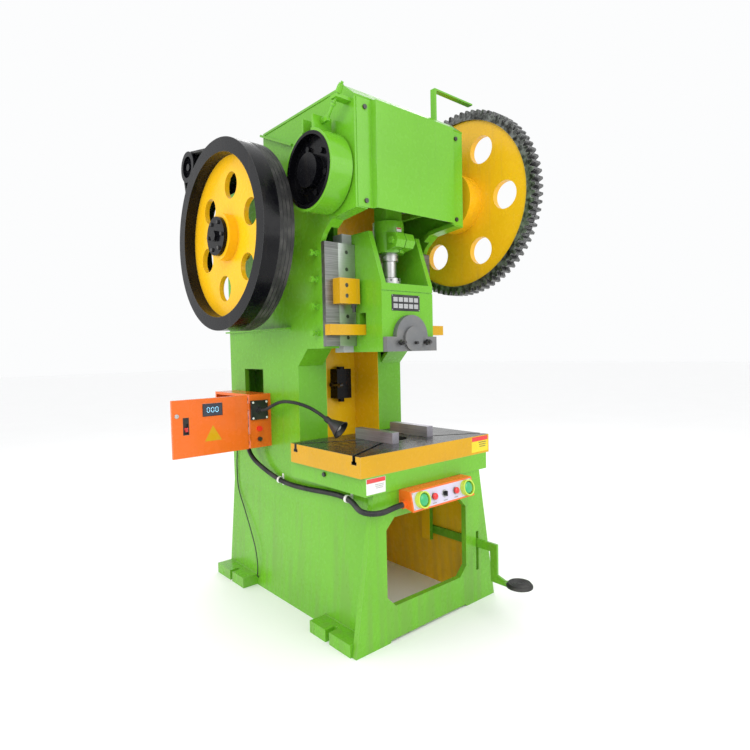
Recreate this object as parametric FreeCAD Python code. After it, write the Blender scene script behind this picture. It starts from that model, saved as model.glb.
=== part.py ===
"""Open-front mechanical power press: welded C-frame, single crank, rear geared drive, two-hand panel.

Frame of the model, in millimetres: X to the press's right, Y to its rear, Z up.
The origin is the point on the floor straight below the ram's axis.
"""

import FreeCAD
import Part
import math
import os

V = FreeCAD.Vector

# ---- driving dimensions ----
# column boxes, mirrored about X = 0
COLUMN_OUT = 346.0       # half-distance over the outer side plates
COLUMN_IN = 175.0        # half-distance between the inner side plates
PLATE = 25.0             # side plate thickness
WEB = 20.0               # closing plate thickness
THROAT_Y = 298.0         # front face of the columns in the throat
REAR_Y = 1020.0
BACK_Y = 505.0            # front of the plate that closes the throat between the columns
THROAT_TOP = 1291.0
THROAT_CHAMFER = 85.0
GUIDE_Y = 80.0           # front of the guide boxes
HEAD_BOTTOM = 1885.0
HEAD_FRONT = -180.0
HEAD_REAR = 558.0
HEAD_CHAMFER = 55.0
STEP_TOP = 2140.0        # height of the rear step that carries the motor
HEAD_TOP = 2400.0
GUIDE_TOP = 1780.0
ROOF = 12.0
# base
BASE_TOP = 669.0
BASE_FRONT = -258.0
BASE_HALF_TOP = COLUMN_OUT + 5.0
BASE_HALF_FLOOR = 463.0
FRONT_PLATE = 28.0
SKIRT_TOP = 530.0
SKIRT_FLARE = 42.0
WINDOW_LEFT = 282.0
WINDOW_RIGHT = 244.0
WINDOW_LOW = 157.0
WINDOW_HIGH = 550.0
WINDOW_CHAMFER = 48.0
RELIEF = 12.0
FOOT_OUT = 472.0
FOOT_H = 55.0
FOOT_SLOT = 28.0
# bed and bolster
BED_HALF = COLUMN_OUT + 55.0
BED_T = 80.0
TABLE_FRONT = -265.0
BOLSTER_HALF = BED_HALF + 22.0
BOLSTER_DEPTH = 529.0
BOLSTER_T = 91.0
TABLE_BORE_R = 75.0
TSLOT_EXIT_Y = 222.0     # where a slot runs out of the side face
TSLOT_NECK = 18.0
TSLOT_HEAD = 30.0
TSLOT_HEAD_H = 14.0
TSLOT_DEPTH = 38.0
# crank train
CRANK_Z = 2059.0
CRANK_THROW = 50.0
JOURNAL_R = 55.0
CRANK_PIN_R = 50.0
CHEEK_R = 112.0
CHEEK_T = 30.0
CHEEK_X = 80.0
EYE_R = 103.0
EYE_WALL = 36.0
EYE_HALF = 60.0
RUN_CLEAR = 0.05         # radial clearance of running fits
SEAT_GAP = 0.3           # gap left where two curved pieces meet
# gears
MODULE = 12.0
GEAR_TEETH = 80
PINION_TEETH = 13
GEAR_ADDENDUM = 9.0
PINION_ADDENDUM = 11.0
ROOT_CLEAR = 3.0
GEAR_X = COLUMN_OUT + 169.0
GEAR_W = 70.0
GEAR_LINE_DEG = -23.0    # direction from the crank to the drive shaft
# flywheel and belts
FLYWHEEL_X = -COLUMN_OUT - 304.0
FLYWHEEL_W = 152.0
FLYWHEEL_R = 453.0
RIM_T = 65.0
SHAFT_R = 42.0
BELT_W = 15.0
BELT_T = 12.0
BELT_PITCH = 19.0
BELT_COUNT = 4
BELT_FIRST_X = FLYWHEEL_X + 80.0
PULLEY_R = 83.0
MOTOR_Y = 1000.0
MOTOR_Z = 2308.0
MOTOR_R = 118.0
# ram
RAM_HALF = 167.0
RAM_FRONT = -130.0
RAM_REAR = 150.0
RAM_BOTTOM = 1270.0
RAM_DECK = 1585.0
EAR_T = 27.0
EAR_TOP = 1830.0
FLANGE_HALF = 225.0
FLANGE_FRONT = 80.0
BALL_Z = 1545.0
BALL_R = 45.0
SCREW_R = 36.0
ROD_BOSS_LOW = 1742.0
ROD_BOSS_R = 76.0
SHANK_R = 25.0
SHANK_DEPTH = 80.0
KNOCK_SLOT = (-16.0, 32.0, 1350.0, 1455.0)
KNOCK_BAR_H = 49.0
GUIDE_CLEAR = 0.3
# electric cabinet
CAB_FRONT = 575.0
CAB_LEN = 400.0
CAB_OUT = COLUMN_OUT + 124.0
CAB_LOW = 781.0
CAB_HIGH = 1061.0
SHEET = 2.0
DOOR_T = 16.0
DOOR_W = 392.0
HINGE_R = 4.0
# two-hand panel
PANEL_HALF = 204.0
PANEL_LOW = 581.0
PANEL_HIGH = 668.0
PANEL_DEPTH = 88.0
PANEL_LEAN = 19.0
# pedal
PEDAL_X = 331.0
PEDAL_BAR_T = 12.0
PEDAL_BAR_W = 42.0
PEDAL_PIVOT = (60.0, 298.0)
PAD_R = 62.0
# cords
CONDUIT_D = 25.0
CABLE_D = 6.0

TABLE_Z = BASE_TOP + BED_T + BOLSTER_T
GEAR_R = MODULE * GEAR_TEETH / 2
PINION_R = MODULE * PINION_TEETH / 2
CENTRES = GEAR_R + PINION_R
DRIVE_Y = CENTRES * math.cos(math.radians(GEAR_LINE_DEG))
DRIVE_Z = CRANK_Z + CENTRES * math.sin(math.radians(GEAR_LINE_DEG))
PIN_Z = CRANK_Z + CRANK_THROW
BEARING_R = JOURNAL_R + 22.0
DRIVE_BEARING_R = SHAFT_R + 20.0

ADJUSTER_Y = 115.0
ADJUSTER_Z = (1732.0, 1610.0, 1486.0, 1362.0)
HAND_HOLE = (645.0, 850.0, 1040.0, 1187.0)
SHELF = (350.0, 1015.0, 1392.0)
SHELF_OUT = 30.0
MOTOR_X0 = -COLUMN_OUT - 74.0
MOTOR_X1 = 120.0
BOSS_OUT = 44.0
BRAKE_OUT = COLUMN_OUT + 120.0
BRAKE_IN = COLUMN_OUT + 6.0
BRAKE_R = 162.0
EAR_GAP = (-30.0, 34.0)
TIE_LEAN = math.radians(44)
TIE_R = 6.5
CLAMP_STUD_X = 84.0
CLAMP_STUD_Z = 1311.0
STOP_LOW = 1495.0
STOP_SCREW = (-215.0, 12.0)
HINGE_X = -CAB_OUT - 8.5
HINGE_Y = CAB_FRONT - 2.0
SWITCH_X = -CAB_OUT - 342.0
SWITCH_Z = 933.0
LAMP_BASE = (-CAB_OUT + 4.0, -CAB_OUT + 100.0, 929.0, 1029.0)
LAMP_ROUTE = [(-418, 563, 979), (-418, 512, 979), (-414, 452, 1004), (-404, 380, 1032), (-390, 300, 1034),
              (-370, 225, 1022), (-346, 155, 996), (-326, 105, 962)]
CONDUIT_ROUTE = [(-400, 735, 790), (-400, 735, 757), (-398, 719, 726), (-392, 690, 698), (-383, 650, 673),
                 (-374, 598, 650), (-368, 534, 630), (-366, 465, 617), (-367, 394, 611), (-366, 322, 610),
                 (-367, 250, 613), (-366, 178, 617), (-367, 106, 623), (-366, 34, 628), (-367, -30, 631),
                 (-370, -84, 631), (-374, -130, 626), (-384, -172, 617), (-397, -208, 609),
                 (-404, -243, 605), (-396, -276, 603), (-371, -298, 602), (-335, -305, 602),
                 (-292, -300, 605), (-248, -294, 608), (-200, -294, 608)]
CABLE_ROUTE = [(-356, 950, 780), (-354, 958, 738), (-352, 966, 686), (-353, 972, 630), (-352, 974, 574),
               (-354, 968, 520), (-358, 946, 474), (-364, 908, 434), (-370, 866, 396), (-377, 822, 350),
               (-383, 778, 302), (-389, 736, 252), (-393, 702, 202), (-396, 683, 154), (-397, 675, 112),
               (-397, 678, 74), (-396, 690, 44), (-366, 692, 40)]
CONDUIT_EXIT = CONDUIT_ROUTE[0][:2]
CLIP_PLACES = ((465.0, 617.8, -366.3), (-107.0, 628.5, -372.0))
PANEL_BUTTONS = (
    (-146.0, 27.0, "palm_button_left", 12.0),
    (152.0, 27.0, "palm_button_right", 12.0),
    (-66.0, 15.0, "stop_button", 7.0),
    (78.0, 15.0, "inch_button", 7.0),
)
LUBE_X = (0.0, 98.0)
LUBE_Z = 1090.0
LUBE_PIN_R = 6.0

nodes = {}


# ---- shape helpers ----
def box(x0, x1, y0, y1, z0, z1):
    return Part.makeBox(x1 - x0, y1 - y0, z1 - z0, V(x0, y0, z0))


def cyl(axis, centre, r, start, end):
    """A cylinder along an axis letter; centre gives the two other coordinates in X, Y, Z order."""
    place = {"x": (start, centre[0], centre[1]), "y": (centre[0], start, centre[1]),
             "z": (centre[0], centre[1], start)}[axis]
    way = {"x": V(1, 0, 0), "y": V(0, 1, 0), "z": V(0, 0, 1)}[axis]
    return Part.makeCylinder(r, end - start, V(*place), way)


def tube(axis, centre, r_in, r_out, start, end):
    return cyl(axis, centre, r_out, start, end).cut(cyl(axis, centre, r_in, start - 1, end + 1))


def prism(axis, points, start, end):
    """A polygon in the plane across an axis, extruded along it."""
    lift = {"x": lambda a, b: V(start, a, b), "y": lambda a, b: V(a, start, b), "z": lambda a,
            b: V(a, b, start)}
    corners = [lift[axis](a, b) for a, b in points]
    face = Part.Face(Part.makePolygon(corners + corners[:1]))
    way = {"x": V(1, 0, 0), "y": V(0, 1, 0), "z": V(0, 0, 1)}[axis]
    return face.extrude(way * (end - start))


def hexagon(axis, centre, flats, start, end):
    r = flats / math.sqrt(3)
    turn = [math.radians(60 * k) for k in range(6)]
    return prism(axis, [(centre[0] + r * math.cos(t), centre[1] + r * math.sin(t)) for t in turn], start, end)


def fuse(*shapes):
    return shapes[0].multiFuse(list(shapes[1:])).removeSplitter()


def mirrored(shape):
    return shape.mirror(V(0, 0, 0), V(1, 0, 0))


def keep(name, *solids):
    nodes[name] = list(solids)


# ---- welded frame ----
def side_profile(front_guide):
    """The C outline of a side plate; front_guide is where it stops beside the guides."""
    return [
        (REAR_Y, SKIRT_TOP), (REAR_Y, STEP_TOP), (HEAD_REAR, STEP_TOP), (HEAD_REAR, HEAD_TOP),
        (HEAD_FRONT + 70, HEAD_TOP), (HEAD_FRONT, HEAD_TOP - HEAD_CHAMFER), (HEAD_FRONT, HEAD_BOTTOM),
        (-10.0, HEAD_BOTTOM - 17), (30.0, HEAD_BOTTOM - 45), (60.0, GUIDE_TOP + 35), (front_guide, GUIDE_TOP),
        (front_guide, THROAT_TOP), (THROAT_Y - THROAT_CHAMFER, THROAT_TOP),
        (THROAT_Y, THROAT_TOP - THROAT_CHAMFER), (THROAT_Y, BASE_TOP),
        (BASE_FRONT + FRONT_PLATE, BASE_TOP), (BASE_FRONT + FRONT_PLATE, SKIRT_TOP),
    ]


def throat_web():
    """The bent plate that closes a column's front, the throat's corner and the guide's underside."""
    path = [(THROAT_Y, BASE_TOP), (THROAT_Y, THROAT_TOP - THROAT_CHAMFER),
            (THROAT_Y - THROAT_CHAMFER, THROAT_TOP), (GUIDE_Y + 75, THROAT_TOP)]
    inside = [(GUIDE_Y + 75, THROAT_TOP + WEB), (THROAT_Y - THROAT_CHAMFER + 8, THROAT_TOP + WEB),
              (THROAT_Y + WEB, THROAT_TOP - THROAT_CHAMFER + 8), (THROAT_Y + WEB, BASE_TOP)]
    return prism("x", path + inside, -COLUMN_OUT + PLATE, -COLUMN_IN - PLATE)


def column_box():
    """One column weldment on the -X side: outer plate, inner plate and the webs between them."""
    x_out = -COLUMN_OUT + PLATE
    x_in = -COLUMN_IN - PLATE
    outer = prism("x", side_profile(GUIDE_Y), -COLUMN_OUT, x_out)
    inner = prism("x", side_profile(GUIDE_Y), x_in, -COLUMN_IN)
    inner = inner.cut(box(x_in - 1, -COLUMN_IN + 1, BASE_FRONT - 1, THROAT_Y, 0, BASE_TOP))
    inner = inner.cut(box(x_in - 1, -COLUMN_IN + 1, -400, RAM_REAR + 26, THROAT_TOP - 1, HEAD_BOTTOM + 60))
    inner = inner.cut(box(x_in - 1, -COLUMN_IN + 1, -400, THROAT_Y, 0, THROAT_TOP + 1))
    inner = inner.cut(box(x_in - 1, -COLUMN_IN + 1, -400, REAR_Y + 1, 0, BASE_TOP))
    guide_front = box(x_out, x_out + 66, GUIDE_Y, GUIDE_Y + PLATE, THROAT_TOP, GUIDE_TOP)
    guide_floor = box(x_out, x_out + 66, GUIDE_Y + PLATE, GUIDE_Y + 76, THROAT_TOP, THROAT_TOP + WEB)
    head_front = box(x_out, x_in, HEAD_FRONT, HEAD_FRONT + WEB, HEAD_BOTTOM + 45, HEAD_TOP - HEAD_CHAMFER)
    head_floor = prism("x", [(HEAD_FRONT, HEAD_BOTTOM), (-10.0, HEAD_BOTTOM - 17), (30.0, HEAD_BOTTOM - 45),
                             (30.0, HEAD_BOTTOM - 20), (-5.0, HEAD_BOTTOM + 4),
                             (HEAD_FRONT, HEAD_BOTTOM + 22)],
                       x_out, x_out + 40)
    rear = box(x_out, x_in, REAR_Y - WEB, REAR_Y, BASE_TOP, STEP_TOP)
    shape = fuse(outer, inner, throat_web(), guide_front, guide_floor, head_front, head_floor, rear)
    shape = shape.cut(cyl("x", (0, CRANK_Z), BEARING_R, -COLUMN_OUT - 1, 0))
    shape = shape.cut(cyl("x", (DRIVE_Y, DRIVE_Z), DRIVE_BEARING_R, -COLUMN_OUT - 1, 0))
    for z in ADJUSTER_Z:
        shape = shape.cut(cyl("x", (ADJUSTER_Y, z), 8.0, -COLUMN_OUT - 1, x_out + 70))
    return shape


def frame():
    left = column_box()
    right = mirrored(left)
    y0, y1, z0, z1 = HAND_HOLE
    left = left.cut(box(-COLUMN_OUT - 1, -COLUMN_OUT + PLATE + 1, y0, y1, z0, z1))
    shelf = box(-COLUMN_OUT - SHELF_OUT, -COLUMN_OUT, SHELF[0], SHELF[1], SHELF[2], SHELF[2] + 8)
    rib = prism("x", [(HEAD_REAR + 8, HEAD_TOP), (HEAD_REAR, HEAD_TOP), (275.0, 2273.0), (279.0, 2264.0),
                      (HEAD_REAR + 8, HEAD_TOP - 9)], -COLUMN_OUT - 22, -COLUMN_OUT)
    keep("column_left", fuse(left, shelf, rib, tie_anchor()))
    keep("column_right", right)

    roof = box(-COLUMN_OUT, COLUMN_OUT, HEAD_FRONT + 70, HEAD_REAR + ROOF, HEAD_TOP, HEAD_TOP + ROOF)
    rear = box(-COLUMN_OUT, COLUMN_OUT, HEAD_REAR, HEAD_REAR + ROOF, STEP_TOP + ROOF, HEAD_TOP)
    slope = prism("x", [(HEAD_FRONT + 70, HEAD_TOP), (HEAD_FRONT + 70, HEAD_TOP + ROOF),
                        (HEAD_FRONT - 4, HEAD_TOP - HEAD_CHAMFER + 8), (HEAD_FRONT, HEAD_TOP - HEAD_CHAMFER)],
                  -COLUMN_OUT, COLUMN_OUT)
    step = box(-COLUMN_OUT, COLUMN_OUT, HEAD_REAR, REAR_Y + 140, STEP_TOP, STEP_TOP + ROOF)
    y0 = HEAD_FRONT + 76
    z0 = HEAD_TOP + ROOF
    bracket = fuse(box(236, 248, y0, y0 + 30, z0, z0 + 158), box(236, 528, y0, y0 + 30, z0 + 150, z0 + 158))
    keep("head_shell", fuse(roof, rear, slope, step, bracket))


def base():
    half = [(-BASE_HALF_TOP, BASE_TOP), (BASE_HALF_TOP, BASE_TOP), (BASE_HALF_FLOOR, 0),
            (WINDOW_RIGHT, 0), (WINDOW_RIGHT - 10, RELIEF), (-WINDOW_LEFT + 20, RELIEF),
            (-WINDOW_LEFT + 10, 0),
            (-BASE_HALF_FLOOR, 0)]
    front = prism("y", half, BASE_FRONT, BASE_FRONT + FRONT_PLATE)
    c = WINDOW_CHAMFER
    window = [(-WINDOW_LEFT + c, WINDOW_HIGH), (WINDOW_RIGHT - c, WINDOW_HIGH),
              (WINDOW_RIGHT, WINDOW_HIGH - c),
              (WINDOW_RIGHT, WINDOW_LOW + c), (WINDOW_RIGHT - c, WINDOW_LOW), (-WINDOW_LEFT + c, WINDOW_LOW),
              (-WINDOW_LEFT, WINDOW_LOW + c), (-WINDOW_LEFT, WINDOW_HIGH - c)]
    front = front.cut(prism("y", window, BASE_FRONT - 1, BASE_FRONT + FRONT_PLATE + 1))
    slot = box(PEDAL_X - 10, PEDAL_X + 10, BASE_FRONT - 1, BASE_FRONT + FRONT_PLATE + 1, 159, 357)
    front = front.cut(slot)
    back_of_front = BASE_FRONT + FRONT_PLATE
    skirt = prism("y", [(-COLUMN_OUT, SKIRT_TOP), (-COLUMN_OUT - SKIRT_FLARE, 0),
                        (-COLUMN_OUT - SKIRT_FLARE + PLATE, 0), (-COLUMN_OUT + PLATE, SKIRT_TOP)],
                  back_of_front, REAR_Y)
    rear = prism("y", [(-COLUMN_OUT + PLATE, BASE_TOP), (COLUMN_OUT - PLATE, BASE_TOP),
                       (COLUMN_OUT - PLATE, SKIRT_TOP), (COLUMN_OUT + SKIRT_FLARE - PLATE, 0), (230, 0),
                       (220, RELIEF),
                       (-220, RELIEF), (-230, 0), (-COLUMN_OUT - SKIRT_FLARE + PLATE, 0),
                       (-COLUMN_OUT + PLATE, SKIRT_TOP)], REAR_Y - WEB, REAR_Y)
    cable_hole = cyl("x", CABLE_ROUTE[-1][1:], CABLE_D / 2 + 3, -BASE_HALF_FLOOR, -COLUMN_OUT)
    x_root = COLUMN_OUT + SKIRT_FLARE - 6
    feet = []
    for y0, y1, slot_y in ((back_of_front, 66.0, -68.0), (704.0, 1014.0, 847.0)):
        foot = box(-FOOT_OUT, -x_root, y0, y1, 0, FOOT_H)
        foot = foot.cut(box(-FOOT_OUT - 1, -FOOT_OUT + 45, slot_y - FOOT_SLOT / 2, slot_y + FOOT_SLOT / 2,
                            -1, 99))
        foot = foot.cut(cyl("z", (-FOOT_OUT + 45, slot_y), FOOT_SLOT / 2, -1, 99))
        feet += [foot, mirrored(foot)]
    bracket = box(PEDAL_X - 42, PEDAL_X - 18, PEDAL_PIVOT[0] - 30, PEDAL_PIVOT[0] + 30, 250, BASE_TOP)
    pin = cyl("x", PEDAL_PIVOT, 12.0, PEDAL_X - 30, PEDAL_X + 14)
    keep("base_frame", fuse(front, skirt.cut(cable_hole), mirrored(skirt), rear, bracket, pin, *feet))


def bed():
    y1 = TABLE_FRONT + BOLSTER_DEPTH
    outline = [(-BED_HALF, TABLE_FRONT), (BED_HALF, TABLE_FRONT), (BED_HALF, THROAT_Y), (COLUMN_IN, THROAT_Y),
               (COLUMN_IN, BACK_Y + WEB), (-COLUMN_IN, BACK_Y + WEB), (-COLUMN_IN, THROAT_Y),
               (-BED_HALF, THROAT_Y)]
    plate = prism("z", outline, BASE_TOP, BASE_TOP + BED_T)
    plate = plate.cut(cyl("z", (0, 0), TABLE_BORE_R + 20, 0, 999))
    back_top = DRIVE_Z - DRIVE_BEARING_R - WEB
    back = box(-COLUMN_IN, COLUMN_IN, BACK_Y, BACK_Y + WEB, BASE_TOP + BED_T, back_top)
    keep("bed_plate", fuse(plate, back))
    z0 = BASE_TOP + BED_T
    bolster = box(-BOLSTER_HALF, BOLSTER_HALF, TABLE_FRONT, y1, z0, TABLE_Z)
    bolster = bolster.cut(cyl("z", (0, 0), TABLE_BORE_R, 0, 999))
    for sx in (-1, 1):
        for sy in (-1, 1):
            turn = math.degrees(math.atan2(sy * TSLOT_EXIT_Y, sx * BOLSTER_HALF))
            neck = box(TABLE_BORE_R + 60, 700, -TSLOT_NECK / 2, TSLOT_NECK / 2, TABLE_Z - TSLOT_DEPTH,
                       TABLE_Z + 1)
            head = box(TABLE_BORE_R + 60, 700, -TSLOT_HEAD / 2, TSLOT_HEAD / 2, TABLE_Z - TSLOT_DEPTH,
                       TABLE_Z - TSLOT_DEPTH + TSLOT_HEAD_H)
            slot = fuse(neck, head)
            slot.rotate(V(0, 0, 0), V(0, 0, 1), turn)
            bolster = bolster.cut(slot)
    keep("bolster_plate", bolster)


def parallels():
    """Two ground parallels that stand on the bolster, each side of its bore."""
    places = ((-118.0, -129.0), (141.0, -103.0))
    keep("parallel_blocks", *[box(x, x + 42, y, y + 273, TABLE_Z, TABLE_Z + 52) for x, y in places])


# ---- gears ----
def involute_gear(teeth, addendum, root_r, phase, backlash):
    """Outline of a spur gear about (0, 0): involute flanks above the base circle, radial below it."""
    pitch_r = MODULE * teeth / 2
    pressure = math.radians(20)
    base_r = pitch_r * math.cos(pressure)
    tip_r = pitch_r + addendum
    inv20 = math.tan(pressure) - pressure
    points = []
    for k in range(teeth):
        middle = phase + 2 * math.pi * k / teeth
        radii = [root_r] + [max(base_r, root_r) + (tip_r - max(base_r, root_r)) * (j / 4) ** 1.4
                            for j in range(5)]
        half = []
        for r in radii:
            a = math.acos(min(1.0, base_r / r))
            half.append(math.pi / (2 * teeth) + inv20 - (math.tan(a) - a) - backlash / (2 * pitch_r))
        rising = [(r * math.cos(middle - h), r * math.sin(middle - h)) for r, h in zip(radii, half)]
        falling = [(r * math.cos(middle + h), r * math.sin(middle + h))
                   for r, h in zip(radii[::-1], half[::-1])]
        points += rising + falling
    return points


def placed(points, y, z):
    return [(y + a, z + b) for a, b in points]


def big_gear():
    phase = math.radians(GEAR_LINE_DEG)
    root = CENTRES - (PINION_R + PINION_ADDENDUM) - ROOT_CLEAR
    outline = placed(involute_gear(GEAR_TEETH, GEAR_ADDENDUM, root, phase, 0.8), 0, CRANK_Z)
    gear = prism("x", outline, GEAR_X, GEAR_X + GEAR_W)
    gear = gear.cut(cyl("x", (0, CRANK_Z), root - 27, GEAR_X - 1, GEAR_X + 14))
    gear = gear.cut(cyl("x", (0, CRANK_Z), root - 27, GEAR_X + GEAR_W - 22, GEAR_X + GEAR_W + 1))
    boss = cyl("x", (0, CRANK_Z), 155.0, GEAR_X - 78, GEAR_X + GEAR_W + 20)
    gear = fuse(gear, boss)
    for k in range(6):
        t = math.radians(1 + 60 * k)
        centre = (302 * math.cos(t), CRANK_Z + 302 * math.sin(t))
        gear = gear.cut(cyl("x", centre, 71.0, GEAR_X - 10, GEAR_X + GEAR_W + 10))
    keep("big_gear", gear.cut(cyl("x", (0, CRANK_Z), JOURNAL_R + RUN_CLEAR, 300, 800)))


def drive_line():
    phase = math.radians(GEAR_LINE_DEG + 180) + math.pi / PINION_TEETH
    root = CENTRES - (GEAR_R + GEAR_ADDENDUM) - ROOT_CLEAR
    outline = placed(involute_gear(PINION_TEETH, PINION_ADDENDUM, root, phase, 0.8), DRIVE_Y, DRIVE_Z)
    pinion = prism("x", outline, GEAR_X - 4, GEAR_X + GEAR_W + 4)
    centre = (DRIVE_Y, DRIVE_Z)
    shaft = fuse(pinion, cyl("x", centre, SHAFT_R, FLYWHEEL_X + 6, GEAR_X - 4),
                 cyl("x", centre, SHAFT_R - 8, GEAR_X - 4, GEAR_X + GEAR_W + 24))
    keep("pinion_shaft", shaft)
    x0, x1 = FLYWHEEL_X, FLYWHEEL_X + FLYWHEEL_W
    rim = tube("x", centre, FLYWHEEL_R - RIM_T, FLYWHEEL_R, x0, x1)
    web = tube("x", centre, 60.0, FLYWHEEL_R - RIM_T, x0 + 59, x0 + 83)
    hub = tube("x", centre, SHAFT_R, 112.0, x0 + 12, x1 - 10)
    wheel = fuse(rim, web, hub)
    for k in range(6):
        t = math.radians(41 + 60 * k)
        hole = (DRIVE_Y + 247 * math.cos(t), DRIVE_Z + 247 * math.sin(t))
        wheel = wheel.cut(cyl("x", hole, 63.0, x0, x1))
    for x in belt_places():
        groove = tube("x", centre, FLYWHEEL_R - BELT_T - 1, FLYWHEEL_R + 1, x - SEAT_GAP,
                      x + BELT_W + SEAT_GAP)
        wheel = wheel.cut(groove)
    keep("flywheel", wheel)
    cap = fuse(cyl("x", centre, 92.0, x0 - 6, x0 + 6), hexagon("x", centre, 46.0, x0 - 20, x0 - 6))
    cap = fuse(cap, tube("x", centre, SHAFT_R, 92.0, x0 + 6, x0 + 12))
    keep("flywheel_cap", cap)


def belt_places():
    return [BELT_FIRST_X + BELT_PITCH * k for k in range(BELT_COUNT)]


def belt_loop(r_big, r_small, start, end):
    """The closed area inside a belt round the flywheel and the motor pulley, as a prism along X."""
    a = (DRIVE_Y, DRIVE_Z)
    b = (MOTOR_Y, MOTOR_Z)
    gap = math.hypot(b[0] - a[0], b[1] - a[1])
    along = math.atan2(b[1] - a[1], b[0] - a[0])
    tilt = math.acos((r_big - r_small) / gap)

    def on(c, r, t):
        return V(start, c[0] + r * math.cos(t), c[1] + r * math.sin(t))

    up, down = along + tilt, along - tilt
    edges = [Part.LineSegment(on(a, r_big, up), on(b, r_small, up)).toShape(),
             Part.Arc(on(b, r_small, up), on(b, r_small, along), on(b, r_small, down)).toShape(),
             Part.LineSegment(on(b, r_small, down), on(a, r_big, down)).toShape(),
             Part.Arc(on(a, r_big, down), on(a, r_big, along + math.pi), on(a, r_big, up)).toShape()]
    return Part.Face(Part.Wire(edges)).extrude(V(end - start, 0, 0))


def motor():
    belts = []
    for x in belt_places():
        outer = belt_loop(FLYWHEEL_R - SEAT_GAP, PULLEY_R - SEAT_GAP, x, x + BELT_W)
        inner = belt_loop(FLYWHEEL_R - BELT_T, PULLEY_R - BELT_T, x - 1, x + BELT_W + 1)
        belts.append(outer.cut(inner))
    keep("v_belts", *belts)
    centre = (MOTOR_Y, MOTOR_Z)
    x0 = belt_places()[0] - 9
    x1 = belt_places()[-1] + BELT_W + 9
    pulley = cyl("x", centre, PULLEY_R, x0, x1)
    for x in belt_places():
        pulley = pulley.cut(tube("x", centre, PULLEY_R - BELT_T - 0.5, PULLEY_R + 1,
                                 x - SEAT_GAP, x + BELT_W + SEAT_GAP))
    pulley = pulley.cut(cyl("x", centre, PULLEY_R - 26, x0 - 1, x0 + 22))
    pulley = fuse(pulley, cyl("x", centre, 19.0, x0 + 4, MOTOR_X0 + 30))
    keep("motor_pulley", pulley)
    body = cyl("x", centre, MOTOR_R, MOTOR_X0 + 40, MOTOR_X1)
    for k in range(32):
        t = math.radians(360 / 32 * k)
        if math.sin(t) > -0.75:
            fin = box(MOTOR_X0 + 60, MOTOR_X1 - 70, MOTOR_R - 2, MOTOR_R + 16, -2, 2)
            fin.rotate(V(0, 0, 0), V(1, 0, 0), math.degrees(t))
            fin.translate(V(0, MOTOR_Y, MOTOR_Z))
            body = body.fuse(fin)
    nose = cyl("x", centre, 70.0, MOTOR_X0, MOTOR_X0 + 40)
    cowl = cyl("x", centre, MOTOR_R + 14, MOTOR_X1 - 60, MOTOR_X1 + 30)
    foot_z = STEP_TOP + ROOF + 20
    feet = [box(x, x + 60, MOTOR_Y - 105, MOTOR_Y + 105, foot_z, MOTOR_Z - 84)
            for x in (MOTOR_X0 + 80, MOTOR_X1 - 150)]
    box_top = box(MOTOR_X0 + 150, MOTOR_X0 + 260, MOTOR_Y - 60, MOTOR_Y + 60, MOTOR_Z + 90, MOTOR_Z + 165)
    body = fuse(body, nose, cowl, box_top, *feet)
    bore = cyl("x", centre, 19.0 + RUN_CLEAR, MOTOR_X0 - 1, MOTOR_X0 + 31)
    keep("motor_body", body.cut(bore))
    plate = box(MOTOR_X0 + 50, MOTOR_X1 - 60, MOTOR_Y - 150, MOTOR_Y + 135, foot_z - 20, foot_z)
    keep("motor_plate", plate)


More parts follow.
